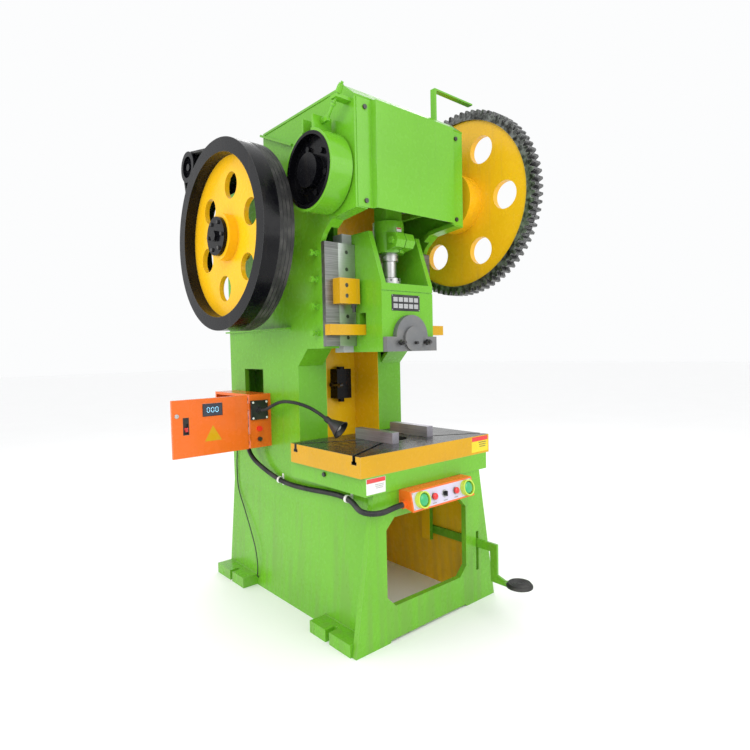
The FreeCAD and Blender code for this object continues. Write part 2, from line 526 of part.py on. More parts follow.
# ---- crank, brake and connecting rod ----
def crank():
    axis = (0, CRANK_Z)
    left_end = -BRAKE_OUT + 10
    shaft = fuse(cyl("x", axis, JOURNAL_R, left_end, -CHEEK_X),
                 cyl("x", axis, JOURNAL_R, CHEEK_X, GEAR_X + GEAR_W + 34),
                 cyl("x", (0, PIN_Z), CRANK_PIN_R, -CHEEK_X - 2, CHEEK_X + 2),
                 cyl("x", (0, CRANK_Z + 8), CHEEK_R, -CHEEK_X - CHEEK_T, -CHEEK_X),
                 cyl("x", (0, CRANK_Z + 8), CHEEK_R, CHEEK_X, CHEEK_X + CHEEK_T))
    keep("crankshaft", shaft)
    face = -BRAKE_OUT + 34
    drum = fuse(tube("x", axis, BRAKE_R - 14, BRAKE_R, -BRAKE_OUT, -BRAKE_IN),
                tube("x", axis, JOURNAL_R, BRAKE_R - 14, face, face + 20),
                tube("x", axis, JOURNAL_R, 72.0, -BRAKE_OUT + 10, -COLUMN_OUT - BOSS_OUT - 2),
                cyl("x", axis, 72.0, -BRAKE_OUT - 4, -BRAKE_OUT + 10))
    for k in range(6):
        t = math.radians(60 * k + 15)
        spot = (100 * math.cos(t), CRANK_Z + 100 * math.sin(t))
        drum = drum.fuse(hexagon("x", spot, 22.0, face - 14, face))
    keep("brake_drum", drum)

    lining_r = BRAKE_R + 0.5
    band = tube("x", axis, lining_r, lining_r + 11, -BRAKE_OUT + 2, -BRAKE_IN - 2)
    band = band.cut(box(-BRAKE_OUT - 5, -BRAKE_IN + 5, EAR_GAP[0], EAR_GAP[1], CRANK_Z, CRANK_Z + 300))
    top = CRANK_Z + lining_r
    ears = [box(-BRAKE_OUT + 8, -BRAKE_IN - 8, y0, y0 + 10, top + 2, top + 66)
            for y0 in (EAR_GAP[0] - 10, EAR_GAP[1])]
    band = fuse(band, *ears)
    bolt_x = -(BRAKE_OUT + BRAKE_IN) / 2
    band = band.cut(cyl("y", (bolt_x, top + 46), 9.0, EAR_GAP[0] - 60, EAR_GAP[1] + 60))
    keep("brake_band", band)

    bolt = fuse(cyl("y", (bolt_x, top + 46), 8.5, EAR_GAP[0] - 34, EAR_GAP[1] + 40),
                hexagon("y", (bolt_x, top + 46), 24.0, EAR_GAP[0] - 26, EAR_GAP[0] - 10 - SEAT_GAP),
                hexagon("y", (bolt_x, top + 46), 24.0, EAR_GAP[1] + 10 + SEAT_GAP, EAR_GAP[1] + 26))
    lug_low, tie = tie_line()
    rod = Part.makeCylinder(TIE_R, 165, lug_low, tie)
    spring = Part.makeCylinder(13.0, 26, lug_low + tie * 121, tie)
    nuts = [Part.makeCylinder(11.5, 9, lug_low + tie * s, tie) for s in (66, 147)]
    eye = box(bolt_x - 8, bolt_x + 8, EAR_GAP[0] - 56, EAR_GAP[0] - 28, top + 34, top + 58)
    keep("brake_tie_rod", fuse(bolt, rod, spring, eye, *nuts))


def tie_line():
    """Where the brake's tie rod starts, and the way it leans up to its lug on the frame."""
    start = V(-(BRAKE_OUT + BRAKE_IN) / 2, EAR_GAP[0] - 42, CRANK_Z + BRAKE_R + 40.5)
    return start, V(0, -math.sin(TIE_LEAN), math.cos(TIE_LEAN))


def tie_anchor():
    start, tie = tie_line()
    mid = start + tie * 100
    lug = box(mid.x - 16, -COLUMN_OUT + 1, mid.y - 20, mid.y + 20, mid.z - 7, mid.z + 7)
    return lug.cut(Part.makeCylinder(TIE_R + SEAT_GAP, 300, start - tie * 40, tie))


def bearings():
    out = []
    for side in (-1, 1):
        crank_bush = tube("x", (0, CRANK_Z), JOURNAL_R + RUN_CLEAR, BEARING_R, COLUMN_IN - 6,
                          COLUMN_OUT)
        crank_boss = tube("x", (0, CRANK_Z), JOURNAL_R + RUN_CLEAR, BEARING_R + 33, COLUMN_OUT,
                          COLUMN_OUT + BOSS_OUT)
        drive_bush = tube("x", (DRIVE_Y, DRIVE_Z), SHAFT_R + RUN_CLEAR, DRIVE_BEARING_R, COLUMN_IN,
                          COLUMN_OUT)
        drive_boss = tube("x", (DRIVE_Y, DRIVE_Z), SHAFT_R + RUN_CLEAR, 98.0, COLUMN_OUT, COLUMN_OUT + 58)
        for shape in (fuse(crank_bush, crank_boss), fuse(drive_bush, drive_boss)):
            out.append(shape if side > 0 else mirrored(shape))
    keep("shaft_bearings", *out)


def connecting_rod():
    eye = tube("x", (0, PIN_Z), EYE_R, EYE_R + EYE_WALL, -EYE_HALF, EYE_HALF)
    shank = box(-52, 52, -42, 42, ROD_BOSS_LOW + 120, PIN_Z - EYE_R - 6)
    boss = cyl("z", (0, 0), ROD_BOSS_R, ROD_BOSS_LOW, ROD_BOSS_LOW + 150)
    lugs = prism("x", [(-50, ROD_BOSS_LOW + 8), (-112, ROD_BOSS_LOW + 18), (-126, ROD_BOSS_LOW + 50),
                       (-112, ROD_BOSS_LOW + 84), (-50, ROD_BOSS_LOW + 96)], -58, 58)
    rod = fuse(eye, shank, boss, lugs)
    rod = rod.cut(box(-2.5, 2.5, -140, 0, ROD_BOSS_LOW - 1, ROD_BOSS_LOW + 100))
    rod = rod.cut(cyl("z", (0, 0), SCREW_R + RUN_CLEAR, ROD_BOSS_LOW - 1, ROD_BOSS_LOW + 140))
    bolt_at = (-92.0, ROD_BOSS_LOW + 50)
    rod = rod.cut(cyl("x", bolt_at, 11.0 + SEAT_GAP, -90, 90))
    keep("con_rod", rod)
    bolt = fuse(cyl("x", bolt_at, 11.0, -74, 82), hexagon("x", bolt_at, 32.0, -72, -58 - 0.1),
                hexagon("x", bolt_at, 32.0, 58.1, 74))
    keep("rod_clamp_bolt", bolt)
    ball = Part.makeSphere(BALL_R, V(0, 0, BALL_Z))
    screw = fuse(ball, cyl("z", (0, 0), SCREW_R - 8, BALL_Z + 10, BALL_Z + 90),
                 cyl("z", (0, 0), SCREW_R, BALL_Z + 84, ROD_BOSS_LOW + 132))
    keep("adjusting_screw", screw)
    nut = tube("z", (0, 0), SCREW_R + RUN_CLEAR, 46.0, ROD_BOSS_LOW - 36, ROD_BOSS_LOW - 0.1)
    for k in range(4):
        hole = cyl("y", (0, ROD_BOSS_LOW - 18), 6.0, 38, 60)
        hole.rotate(V(0, 0, 0), V(0, 0, 1), 90 * k + 20)
        nut = nut.cut(hole)
    keep("lock_nut", nut)


# ---- ram ----
def ram():
    body = box(-RAM_HALF, RAM_HALF, RAM_FRONT, RAM_REAR, RAM_BOTTOM, RAM_DECK)
    ear = prism("x", [(RAM_FRONT, RAM_DECK), (-44.0, EAR_TOP), (RAM_REAR, EAR_TOP), (RAM_REAR, RAM_DECK)],
                -RAM_HALF, -RAM_HALF + EAR_T)
    flange = box(-FLANGE_HALF, -RAM_HALF, FLANGE_FRONT, RAM_REAR, RAM_BOTTOM, EAR_TOP)
    back = box(-RAM_HALF, RAM_HALF, RAM_REAR - 22, RAM_REAR, RAM_DECK, RAM_DECK + 90)
    ram_shape = fuse(body, ear, mirrored(ear), flange, mirrored(flange), back)
    socket = cyl("z", (0, 0), 52.0, BALL_Z, RAM_DECK + 1)
    ball_seat = Part.makeSphere(BALL_R + 0.15, V(0, 0, BALL_Z))
    ram_shape = ram_shape.cut(socket).cut(ball_seat)
    y0, y1, z0, z1 = KNOCK_SLOT
    ram_shape = ram_shape.cut(box(-FLANGE_HALF - 1, FLANGE_HALF + 1, y0, y1, z0, z1))
    ram_shape = ram_shape.cut(clamp_recess(0.3))
    ram_shape = ram_shape.cut(cyl("z", (0, 0), SHANK_R, RAM_BOTTOM - 1, RAM_BOTTOM + SHANK_DEPTH))
    groove_z = RAM_DECK - 38
    ram_shape = ram_shape.cut(box(-RAM_HALF - 1, RAM_HALF + 1, RAM_FRONT - 1, RAM_FRONT + 4, groove_z,
                                  groove_z + 5))
    for side in (-1, 1):
        ram_shape = ram_shape.cut(cyl("y", (side * CLAMP_STUD_X, CLAMP_STUD_Z), 8.0, -400, -60))
    keep("ram", ram_shape)

    tongue = clamp_recess(0.0)
    arch = cyl("y", (0, RAM_BOTTOM + 68), 102.0, RAM_FRONT - 26, RAM_FRONT)
    foot = box(-RAM_HALF + 3, RAM_HALF - 3, RAM_FRONT - 26, RAM_FRONT, RAM_BOTTOM, RAM_BOTTOM + 68)
    arch = arch.cut(box(-200, 200, -400, 0, RAM_BOTTOM - 200, RAM_BOTTOM))
    raised = cyl("y", (0, RAM_BOTTOM + 58), 58.0, RAM_FRONT - 38, RAM_FRONT - 20)
    clamp = fuse(arch, foot, tongue, raised)
    clamp = clamp.cut(cyl("z", (0, 0), SHANK_R, RAM_BOTTOM - 1, RAM_BOTTOM + SHANK_DEPTH + 3))
    studs = []
    for side in (-1, 1):
        spot = (side * CLAMP_STUD_X, CLAMP_STUD_Z)
        clamp = clamp.cut(cyl("y", spot, 8.0 + SEAT_GAP, -400, 0))
        stud = fuse(cyl("y", spot, 7.7, RAM_FRONT - 66, -62),
                    hexagon("y", spot, 27.0, RAM_FRONT - 53, RAM_FRONT - 38.1))
        studs.append(stud)
    spot = (6.0, CLAMP_STUD_Z - 2)
    clamp = clamp.cut(cyl("y", spot, 7.0 + SEAT_GAP, -400, -20))
    studs.append(cyl("y", spot, 7.0, RAM_FRONT - 56, -SHANK_R - 2))
    keep("shank_clamp", clamp)
    keep("clamp_studs", *studs)

    ring = tube("z", (0, 0), 43.0, 51.7, RAM_DECK - 18, RAM_DECK)
    rim = tube("z", (0, 0), 43.0, 57.0, RAM_DECK, RAM_DECK + 38)
    for k in range(8):
        notch = box(40, 60, -7, 7, RAM_DECK + 24, RAM_DECK + 39)
        notch.rotate(V(0, 0, 0), V(0, 0, 1), 45 * k + 10)
        rim = rim.cut(notch)
    keep("ball_retaining_ring", fuse(ring, rim))

    bar_len = COLUMN_OUT + 26
    y_mid = (y0 + y1) / 2
    bar = box(-bar_len, bar_len, y0 + 3, y1 - 3, z0, z0 + KNOCK_BAR_H)
    bar = bar.cut(cyl("z", (0, y_mid), 9.0, z0 - 1, z0 + 8))
    keep("knockout_bar", bar)


def clamp_recess(gap):
    """The pocket in the ram's front that the clamp's tongue fills, up to the shank bore's axis."""
    return box(-60 - gap, 60 + gap, RAM_FRONT - 1 if gap else RAM_FRONT, gap / 3, RAM_BOTTOM,
               RAM_BOTTOM + 72 + gap)


def guides():
    gib = box(-268, -RAM_HALF - 1.5, 55, GUIDE_Y - GUIDE_CLEAR, THROAT_TOP + 9, GUIDE_TOP)
    holes = [(-219.0, z) for z in (1740.0, 1660.0, 1440.0, 1340.0)]
    for spot in holes:
        gib = gib.cut(cyl("y", spot, 9.3, 54, 64)).cut(cyl("y", spot, 7.0, 50, 90))
    keep("gibs", gib, mirrored(gib))
    x_way = -FLANGE_HALF - GUIDE_CLEAR
    side_bar = box(-COLUMN_OUT, -268.5, 55, GUIDE_Y, THROAT_TOP + 9, GUIDE_TOP)
    side_way = box(x_way - 24, x_way, GUIDE_Y + 0.5, RAM_REAR, THROAT_TOP + WEB, GUIDE_TOP)
    rear_way = box(x_way - 24, -COLUMN_IN, RAM_REAR + GUIDE_CLEAR, RAM_REAR + 25.5,
                   THROAT_TOP + WEB + 0.5, GUIDE_TOP)
    bars = [side_bar, side_way, rear_way]
    keep("guide_bars", *bars, *[mirrored(b) for b in bars])

    bolts = []
    for z in ADJUSTER_Z:
        spot = (ADJUSTER_Y, z)
        bolt = fuse(cyl("x", spot, 7.7, -COLUMN_OUT - 42, x_way - 24),
                    hexagon("x", spot, 26.0, -COLUMN_OUT - 42, -COLUMN_OUT - 28),
                    hexagon("x", spot, 26.0, -COLUMN_OUT - 14, -COLUMN_OUT))
        bolts += [bolt, mirrored(bolt)]
    keep("adjusting_bolts", *bolts)

    low, high = STOP_LOW, STOP_LOW + 117
    stop = box(-303, -RAM_HALF - 19, 2, 55, low, high)
    heads = (low + 36, low + 84)
    for z in heads:
        stop = stop.cut(cyl("y", (-262.0, z), 10.0, 0, 14)).cut(cyl("y", (-262.0, z), 7.0, 0, 60))
    stop = stop.cut(cyl("z", STOP_SCREW, 8.0 + SEAT_GAP, low - 1, low + 60))
    keep("stop_blocks", stop, mirrored(stop))
    screws = []
    for x, z in holes:
        screws.append(fuse(cyl("y", (x, z), 6.7, 60, 79), cyl("y", (x, z), 9.0, 56, 64)))
    for z in heads:
        screws.append(fuse(cyl("y", (-262.0, z), 6.7, 10, 55), cyl("y", (-262.0, z), 9.5, 5, 14)))
    bar_stop = KNOCK_SLOT[3] + 2
    screws.append(fuse(cyl("z", STOP_SCREW, 8.0, bar_stop, low + 59),
                       hexagon("z", STOP_SCREW, 24.0, low - 18, low - 0.1)))
    flange_x = 292.0
    for z in (HEAD_TOP - 90, HEAD_BOTTOM + 32):
        screws.append(fuse(cyl("y", (-flange_x, z), 5.0, HEAD_FRONT - 4, HEAD_FRONT - 0.1),
                           cyl("y", (-flange_x, z), 10.0, HEAD_FRONT - 10, HEAD_FRONT - 3)))
    keep("screws", *screws, *[mirrored(s) for s in screws])

    x0, x1 = 255.0, 335.0
    outer = [(-x1, HEAD_FRONT), (-x0, HEAD_FRONT), (-x0 + 8, HEAD_FRONT - 26), (x0 - 8, HEAD_FRONT - 26),
             (x0, HEAD_FRONT), (x1, HEAD_FRONT), (x1, HEAD_FRONT - 3), (x0 + 2, HEAD_FRONT - 3),
             (x0 - 6, HEAD_FRONT - 29), (-x0 + 6, HEAD_FRONT - 29), (-x0 - 2, HEAD_FRONT - 3),
             (-x1, HEAD_FRONT - 3)]
    cover = prism("z", outer, HEAD_BOTTOM + 5, HEAD_TOP - HEAD_CHAMFER)
    for x in (-flange_x, flange_x):
        for z in (HEAD_TOP - 90, HEAD_BOTTOM + 32):
            cover = cover.cut(cyl("y", (x, z), 5.5, HEAD_FRONT - 9, HEAD_FRONT + 9))
    keep("front_cover", cover)


# ---- electric cabinet and lamp ----


def cabinet():
    x0, x1 = -CAB_OUT, -COLUMN_OUT
    y0, y1 = CAB_FRONT, CAB_FRONT + CAB_LEN
    shell = box(x0, x1, y0, y1, CAB_LOW, CAB_HIGH)
    shell = shell.cut(box(x0 - 1, x1 - SHEET, y0 + SHEET, y1 - SHEET, CAB_LOW + SHEET, CAB_HIGH - SHEET))
    lip = box(x0, x0 + SHEET, y0, y1, CAB_LOW, CAB_HIGH)
    lip = lip.cut(box(x0 - 1, x0 + 9, y0 + 14, y1 - 14, CAB_LOW + 14, CAB_HIGH - 14))
    shell = fuse(shell, lip)
    knuckles = []
    for z in (CAB_LOW + 45, CAB_HIGH - 75):
        leaf = box(HINGE_X, x0 + 1, HINGE_Y - 1.5, HINGE_Y + 3, z, z + 14)
        leaf = fuse(leaf, cyl("z", (HINGE_X, HINGE_Y), HINGE_R + 3, z, z + 14))
        knuckles.append(leaf)
        knuckles.append(cyl("z", (HINGE_X, HINGE_Y), HINGE_R, z, z + 30))
    shell = fuse(shell, *knuckles)
    shell = shell.cut(cyl("y", (-418.0, 880.0), 11.0, y0 - 5, y0 + 5))
    shell = shell.cut(cyl("y", (-420.0, 826.0), 8.0 + SEAT_GAP, y0 - 5, y0 + 5))
    shell = fuse(shell, cyl("z", CONDUIT_EXIT, CONDUIT_D / 2 + 6, CAB_LOW - 12, CAB_LOW))
    shell = shell.cut(cyl("z", CONDUIT_EXIT, CONDUIT_D / 2 + SEAT_GAP, CAB_LOW - 20, CAB_LOW + 5))
    keep("cabinet_body", shell)

    rail = box(x1 - SHEET - 4, x1 - SHEET, y0 + 20, y1 - 20, CAB_LOW + 20, CAB_HIGH - 20)
    gear = [rail]
    for k in range(3):
        gear.append(box(x1 - 74, x1 - 6, y0 + 40 + 62 * k, y0 + 92 + 62 * k, CAB_HIGH - 118, CAB_HIGH - 40))
    gear.append(box(x1 - 80, x1 - 6, y1 - 150, y1 - 50, CAB_HIGH - 130, CAB_HIGH - 44))
    gear.append(box(x1 - 46, x1 - 6, y0 + 40, y1 - 50, CAB_LOW + 60, CAB_LOW + 92))
    keep("cabinet_switchgear", *gear)

    dx1 = HINGE_X - HINGE_R - 3.5
    dx0 = dx1 - DOOR_W
    dy0, dy1 = HINGE_Y - DOOR_T / 2, HINGE_Y + DOOR_T / 2
    door = box(dx0, dx1, dy0, dy1, CAB_LOW + 1, CAB_HIGH - 1)
    door = door.cut(box(dx0 + SHEET, dx1 - SHEET, dy0 + SHEET, dy1 + 1, CAB_LOW + 1 + SHEET,
                        CAB_HIGH - 1 - SHEET))
    for z in (CAB_LOW + 45, CAB_HIGH - 75):
        barrel = tube("z", (HINGE_X, HINGE_Y), HINGE_R + RUN_CLEAR, HINGE_R + 3, z + 14.3, z + 30)
        leaf = box(dx1 - 12, HINGE_X - HINGE_R - 1, HINGE_Y - 1.5, HINGE_Y + 1.5, z + 14.3, z + 30)
        door = fuse(door, barrel, leaf)
    door = door.cut(box(SWITCH_X - 15, SWITCH_X + 15, dy0 - 5, dy0 + 5, SWITCH_Z - 42, SWITCH_Z + 42))
    door = door.cut(box(-728, -626, dy0 - 5, dy0 + 5, 972, 1034))
    keep("cabinet_door", door)
    keep("door_display", box(-728 + 0.3, -626 - 0.3, dy0 - 3, dy0 + 9, 972.3, 1033.7))
    housing = box(SWITCH_X - 14.7, SWITCH_X + 14.7, dy0 + 0.5, dy0 + 12, SWITCH_Z - 41.7, SWITCH_Z + 41.7)
    housing = housing.cut(box(SWITCH_X - 9, SWITCH_X + 9, dy0 - 1, dy0 + 10, SWITCH_Z - 36, SWITCH_Z + 12))
    keep("breaker_housing", housing)
    lever = cyl("x", (dy0 + 3.2, SWITCH_Z - 12), 6.0, SWITCH_X - 8.5, SWITCH_X + 8.5)
    nub = box(SWITCH_X - 6, SWITCH_X + 6, dy0 - 9, dy0 + 2, SWITCH_Z - 25, SWITCH_Z - 15)
    keep("breaker_lever", fuse(lever, nub))


def smooth_tube(name, points, diameter):
    """A tube along straight runs joined by tangent arcs, each as large as its two runs allow."""
    spots = [V(*p) for p in points]
    edges = []
    last = spots[0]
    radii = []
    for before, here, after in zip(spots, spots[1:], spots[2:]):
        u = (before - here)
        v = (after - here)
        run = min(u.Length, v.Length)
        u.normalize()
        v.normalize()
        turn = math.pi - u.getAngle(v)
        cut = 0.45 * run
        radii.append(cut / math.tan(turn / 2))
        start = here + u * cut
        end = here + v * cut
        middle = (u + v)
        middle.normalize()
        r = radii[-1]
        centre = here + middle * (r / math.cos(turn / 2))
        edges.append(Part.LineSegment(last, start).toShape())
        edges.append(Part.Arc(start, centre - middle * r, end).toShape())
        last = end
    edges.append(Part.LineSegment(last, spots[-1]).toShape())
    wire = Part.Wire(edges)
    first = spots[1] - spots[0]
    ring = Part.Wire([Part.Circle(spots[0], first, diameter / 2).toShape()])
    pipe = Part.Wire(wire).makePipeShell([ring], True, True)
    length = wire.Length
    area = math.pi * diameter ** 2 / 4
    print(f"{name}: length {length:.0f} mm, volume share {pipe.Volume / (area * length):.4f}, "
          f"radii {[round(r) for r in radii]}")
    return pipe


def lamp():
    x0, x1, z0, z1 = LAMP_BASE
    y = CAB_FRONT
    plate = box(x0, x1, y - 12, y, z0, z1)
    for x in (x0 + 9, x1 - 9):
        for z in (z0 + 9, z1 - 9):
            plate = plate.fuse(cyl("y", (x, z), 5.0, y - 15, y - 11))
    socket = cyl("y", (-418.0, 979.0), 17.0, y - 34, y - 11)
    base_shape = fuse(plate, socket)
    keep("lamp_base", base_shape.cut(cyl("y", (-418.0, 979.0), 9.0, y - 40, y - 12)))
    route = [V(*p) for p in LAMP_ROUTE]
    arm = smooth_tube("lamp arm", LAMP_ROUTE, 17.0)
    keep("lamp_arm", arm)
    tip = route[-1]
    way = route[-1] - route[-2]
    way.normalize()
    neck = Part.makeCylinder(14.0, 30, tip, way)
    cone = Part.makeCone(16.0, 44.0, 66, tip + way * 30, way)
    inner = Part.makeCone(11.0, 41.0, 62, tip + way * 36, way)
    keep("lamp_head", fuse(neck, cone).cut(inner))
    keep("pilot_lamp",
         fuse(cyl("y", (-418.0, 880.0), 14.0, y - 12, y), cyl("y", (-418.0, 880.0), 10.8, y, y + 16)))
    keep("cabinet_button", fuse(cyl("y", (-420.0, 826.0), 11.5, y - 15, y - 5),
                                cyl("y", (-420.0, 826.0), 7.9, y - 5, y + 12)))


def cords():
    keep("conduit", smooth_tube("conduit", CONDUIT_ROUTE, CONDUIT_D))
    keep("supply_cable", smooth_tube("supply cable", CABLE_ROUTE, CABLE_D))
    clips = []
    for y, z, x in CLIP_PLACES:
        ring = tube("y", (x, z), CONDUIT_D / 2 + 2.2, CONDUIT_D / 2 + 5, y - 7, y + 7)
        strap = box(-COLUMN_OUT - 3, -COLUMN_OUT, y - 7, y + 7, z - 30, z + 30)
        bridge = box(x + CONDUIT_D / 2 + 3, -COLUMN_OUT - 1, y - 7, y + 7, z - 5, z + 5)
        clips.append(fuse(ring, strap, bridge))
    keep("conduit_clips", *clips)


# ---- two-hand panel ----
def panel():
    y0 = BASE_FRONT
    top_y = y0 - PANEL_DEPTH + PANEL_LEAN
    low_y = y0 - PANEL_DEPTH
    side = [(y0, PANEL_LOW + 19), (low_y, PANEL_LOW), (top_y, PANEL_HIGH), (y0, PANEL_HIGH)]
    body = prism("x", side, -PANEL_HALF, PANEL_HALF)
    tilt = math.atan2(low_y - top_y, PANEL_HIGH - PANEL_LOW)
    out = V(0, -math.cos(tilt), -math.sin(tilt))
    mid_z = (PANEL_LOW + PANEL_HIGH) / 2
    mid_y = (low_y + top_y) / 2

    def rod(x, r, start, end):
        return Part.makeCylinder(r, end - start, V(x, mid_y, mid_z) + out * start, out)

    collars = []
    for x, r, name, rise in PANEL_BUTTONS:
        body = body.cut(rod(x, 9.0, -40, 1))
        cap = fuse(rod(x, r, rise, rise + 12), rod(x, 8.7, -26, rise))
        keep(name, cap)
        if "palm" in name:
            collars.append(rod(x, 37.0, 0, 24).cut(rod(x, 31.0, 4, 40)).cut(rod(x, 9.5, -1, 5)))
    knob = fuse(rod(6.0, 10.0, 0.2, 8), rod(6.0, 8.7, -20, 0.2),
                Part.makeBox(5, 12, 22, V(3.5, -6, -11),
                             V(0, 0, 1)).translated(V(0, mid_y, mid_z) + out * 12))
    body = body.cut(rod(6.0, 9.0, -30, 1))
    keep("selector_knob", knob)
    keep("button_collars", *collars)
    body = body.cut(cyl("x", (CONDUIT_ROUTE[-1][1], CONDUIT_ROUTE[-1][2]), CONDUIT_D / 2 + 1,
                        -PANEL_HALF - 1, -PANEL_HALF + 4))
    gland = tube("x", CONDUIT_ROUTE[-1][1:], CONDUIT_D / 2 + 0.3, CONDUIT_D / 2 + 5, -PANEL_HALF - 16,
                 -PANEL_HALF)
    keep("panel_box", fuse(body, gland))
    print("panel face: middle y", round(mid_y, 2), "z", round(mid_z, 2), "normal", round(out.y, 5),
          round(out.z, 5))


def pedal():
    x0, x1 = PEDAL_X - PEDAL_BAR_T / 2, PEDAL_X + PEDAL_BAR_T / 2
    w = PEDAL_BAR_W
    z = PEDAL_PIVOT[1]
    outline = [(PEDAL_PIVOT[0] + 34, z - w / 2), (PEDAL_PIVOT[0] + 34, z + w / 2), (-382, z + w / 2),
               (-382, 168),
               (-440, 149), (-478, 128), (-382, 128), (-345, 128), (-340, z - w / 2)]
    lever = prism("x", outline, x0, x1)
    lever = lever.cut(cyl("x", PEDAL_PIVOT, 12.0 + RUN_CLEAR, x0 - 1, x1 + 1))
    seat = box(PEDAL_X - 16, PEDAL_X + 16, -540, -425, 142, 150)
    keep("pedal_lever", fuse(lever, seat))
    pad = Part.makeCone(PAD_R, PAD_R - 9, 9, V(PEDAL_X, -507, 158.0), V(0, 0, 1))
    keep("pedal_pad", fuse(cyl("z", (PEDAL_X, -507), PAD_R, 150.0, 158), pad))


def lubricator():
    """Hand oil pump on the back plate: tank, filler cap, pump barrel and a pull lever on its side."""
    x0, x1 = LUBE_X
    y0 = BACK_Y - 64
    mid_y = BACK_Y - 32
    tank = fuse(box(x0, x1, y0, BACK_Y, 1012, 1176), cyl("z", ((x0 + x1) / 2, mid_y), 21.0, 1176, 1189),
                cyl("z", ((x0 + x1) / 2, mid_y), 17.0, 992, 1012),
                cyl("x", (mid_y, LUBE_Z), LUBE_PIN_R, x0 - 26, x0))
    keep("lubricator", tank)
    lever = fuse(tube("x", (mid_y, LUBE_Z), LUBE_PIN_R + RUN_CLEAR, 12.0, x0 - 22, x0 - 10),
                 box(x0 - 20, x0 - 12, mid_y - 78, mid_y - 9, LUBE_Z - 6, LUBE_Z + 6),
                 cyl("x", (mid_y - 80, LUBE_Z), 11.0, x0 - 26, x0 - 6))
    keep("lubricator_lever", lever)


frame()
base()
bed()
parallels()
big_gear()
drive_line()
motor()
crank()
bearings()
connecting_rod()
ram()
guides()
cabinet()
lamp()
cords()
panel()
pedal()
lubricator()

os.makedirs("parts", exist_ok=True)
for name, solids in nodes.items():
    shape = solids[0] if len(solids) == 1 else Part.makeCompound(solids)
    if not shape.isValid():
        print("not valid:", name)
    count = len(shape.Solids)
    wanted = len(solids)
    if count != wanted:
        print(name, "has", count, "solids, wanted", wanted)
    shape.exportStep(f"parts/{name}.step")
print(len(nodes), "nodes")
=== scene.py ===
import math
import bmesh
import bpy
import numpy as np
from mathutils import Matrix, Vector


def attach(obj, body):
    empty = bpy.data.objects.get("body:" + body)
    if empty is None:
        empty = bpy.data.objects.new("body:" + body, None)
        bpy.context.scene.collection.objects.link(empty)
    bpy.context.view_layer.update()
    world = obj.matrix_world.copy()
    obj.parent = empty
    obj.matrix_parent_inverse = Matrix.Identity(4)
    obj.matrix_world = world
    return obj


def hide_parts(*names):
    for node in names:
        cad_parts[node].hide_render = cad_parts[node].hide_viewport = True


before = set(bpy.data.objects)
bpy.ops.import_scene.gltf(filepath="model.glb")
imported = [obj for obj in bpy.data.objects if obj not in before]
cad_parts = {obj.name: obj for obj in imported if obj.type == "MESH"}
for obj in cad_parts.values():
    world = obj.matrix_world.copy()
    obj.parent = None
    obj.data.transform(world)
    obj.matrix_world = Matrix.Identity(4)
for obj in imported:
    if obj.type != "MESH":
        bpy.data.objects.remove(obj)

print("frame loaded")
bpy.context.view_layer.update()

cameraSet = {"place": (-1.840, -2.0035, 1.279), "heading": 40.9, "down": 2.6, "roll": 1.2, "lens": 26.48,
             "sensor": 36}


def placeCamera():
    # the view runs along the heading and a little down; up leans by the roll
    s = cameraSet
    h, d, r = (math.radians(s[k]) for k in ("heading", "down", "roll"))
    ahead = Vector((math.sin(h) * math.cos(d), math.cos(h) * math.cos(d), -math.sin(d)))
    right = ahead.cross(Vector((0, 0, 1))).normalized()
    up = right.cross(ahead)
    up, right = up * math.cos(r) + right * math.sin(r), right * math.cos(r) - up * math.sin(r)
    turn = Matrix((right, up, -ahead)).transposed().to_4x4()
    data = bpy.data.cameras.new("camera")
    data.lens = s["lens"]
    data.sensor_width = s["sensor"]
    cam = bpy.data.objects.new("camera", data)
    cam.matrix_world = Matrix.Translation(s["place"]) @ turn
    bpy.context.collection.objects.link(cam)
    bpy.context.scene.camera = cam
    print("camera placed")


lightSet = {
    "key": {"place": (-3.6, -3.2, 4.6), "aim": (0, 0, 1.3), "size": 3.0, "power": 88},
    "front": {"place": (1.2, -4.2, 2.8), "aim": (0, 0, 1.0), "size": 3.0, "power": 55},
    "side": {"place": (-4.4, 1.4, 2.4), "aim": (0, 0.3, 1.2), "size": 2.4, "power": 50},
    "rear": {"place": (2.8, 3.6, 4.0), "aim": (0, 0.3, 1.5), "size": 2.6, "power": 55},
}
worldSet = {"tone": (0.975, 0.98, 0.985, 1), "strength": 1.0}


def placeLights():
    # each area light looks from its place to its aim; the world is an even pale sky
    for name, s in lightSet.items():
        data = bpy.data.lights.new(name, "AREA")
        data.energy = s["power"]
        data.size = s["size"]
        lamp = bpy.data.objects.new(name, data)
        lamp.location = s["place"]
        aim = Vector(s["aim"]) - Vector(s["place"])
        lamp.rotation_euler = aim.to_track_quat("-Z", "Y").to_euler()
        bpy.context.collection.objects.link(lamp)
    world = bpy.data.worlds.new("studio")
    world.use_nodes = True
    sky = world.node_tree.nodes["Background"].inputs
    sky["Color"].default_value = worldSet["tone"]
    sky["Strength"].default_value = worldSet["strength"]
    bpy.context.scene.world = world
    bpy.context.scene.view_settings.view_transform = "Standard"
    print("lights placed")


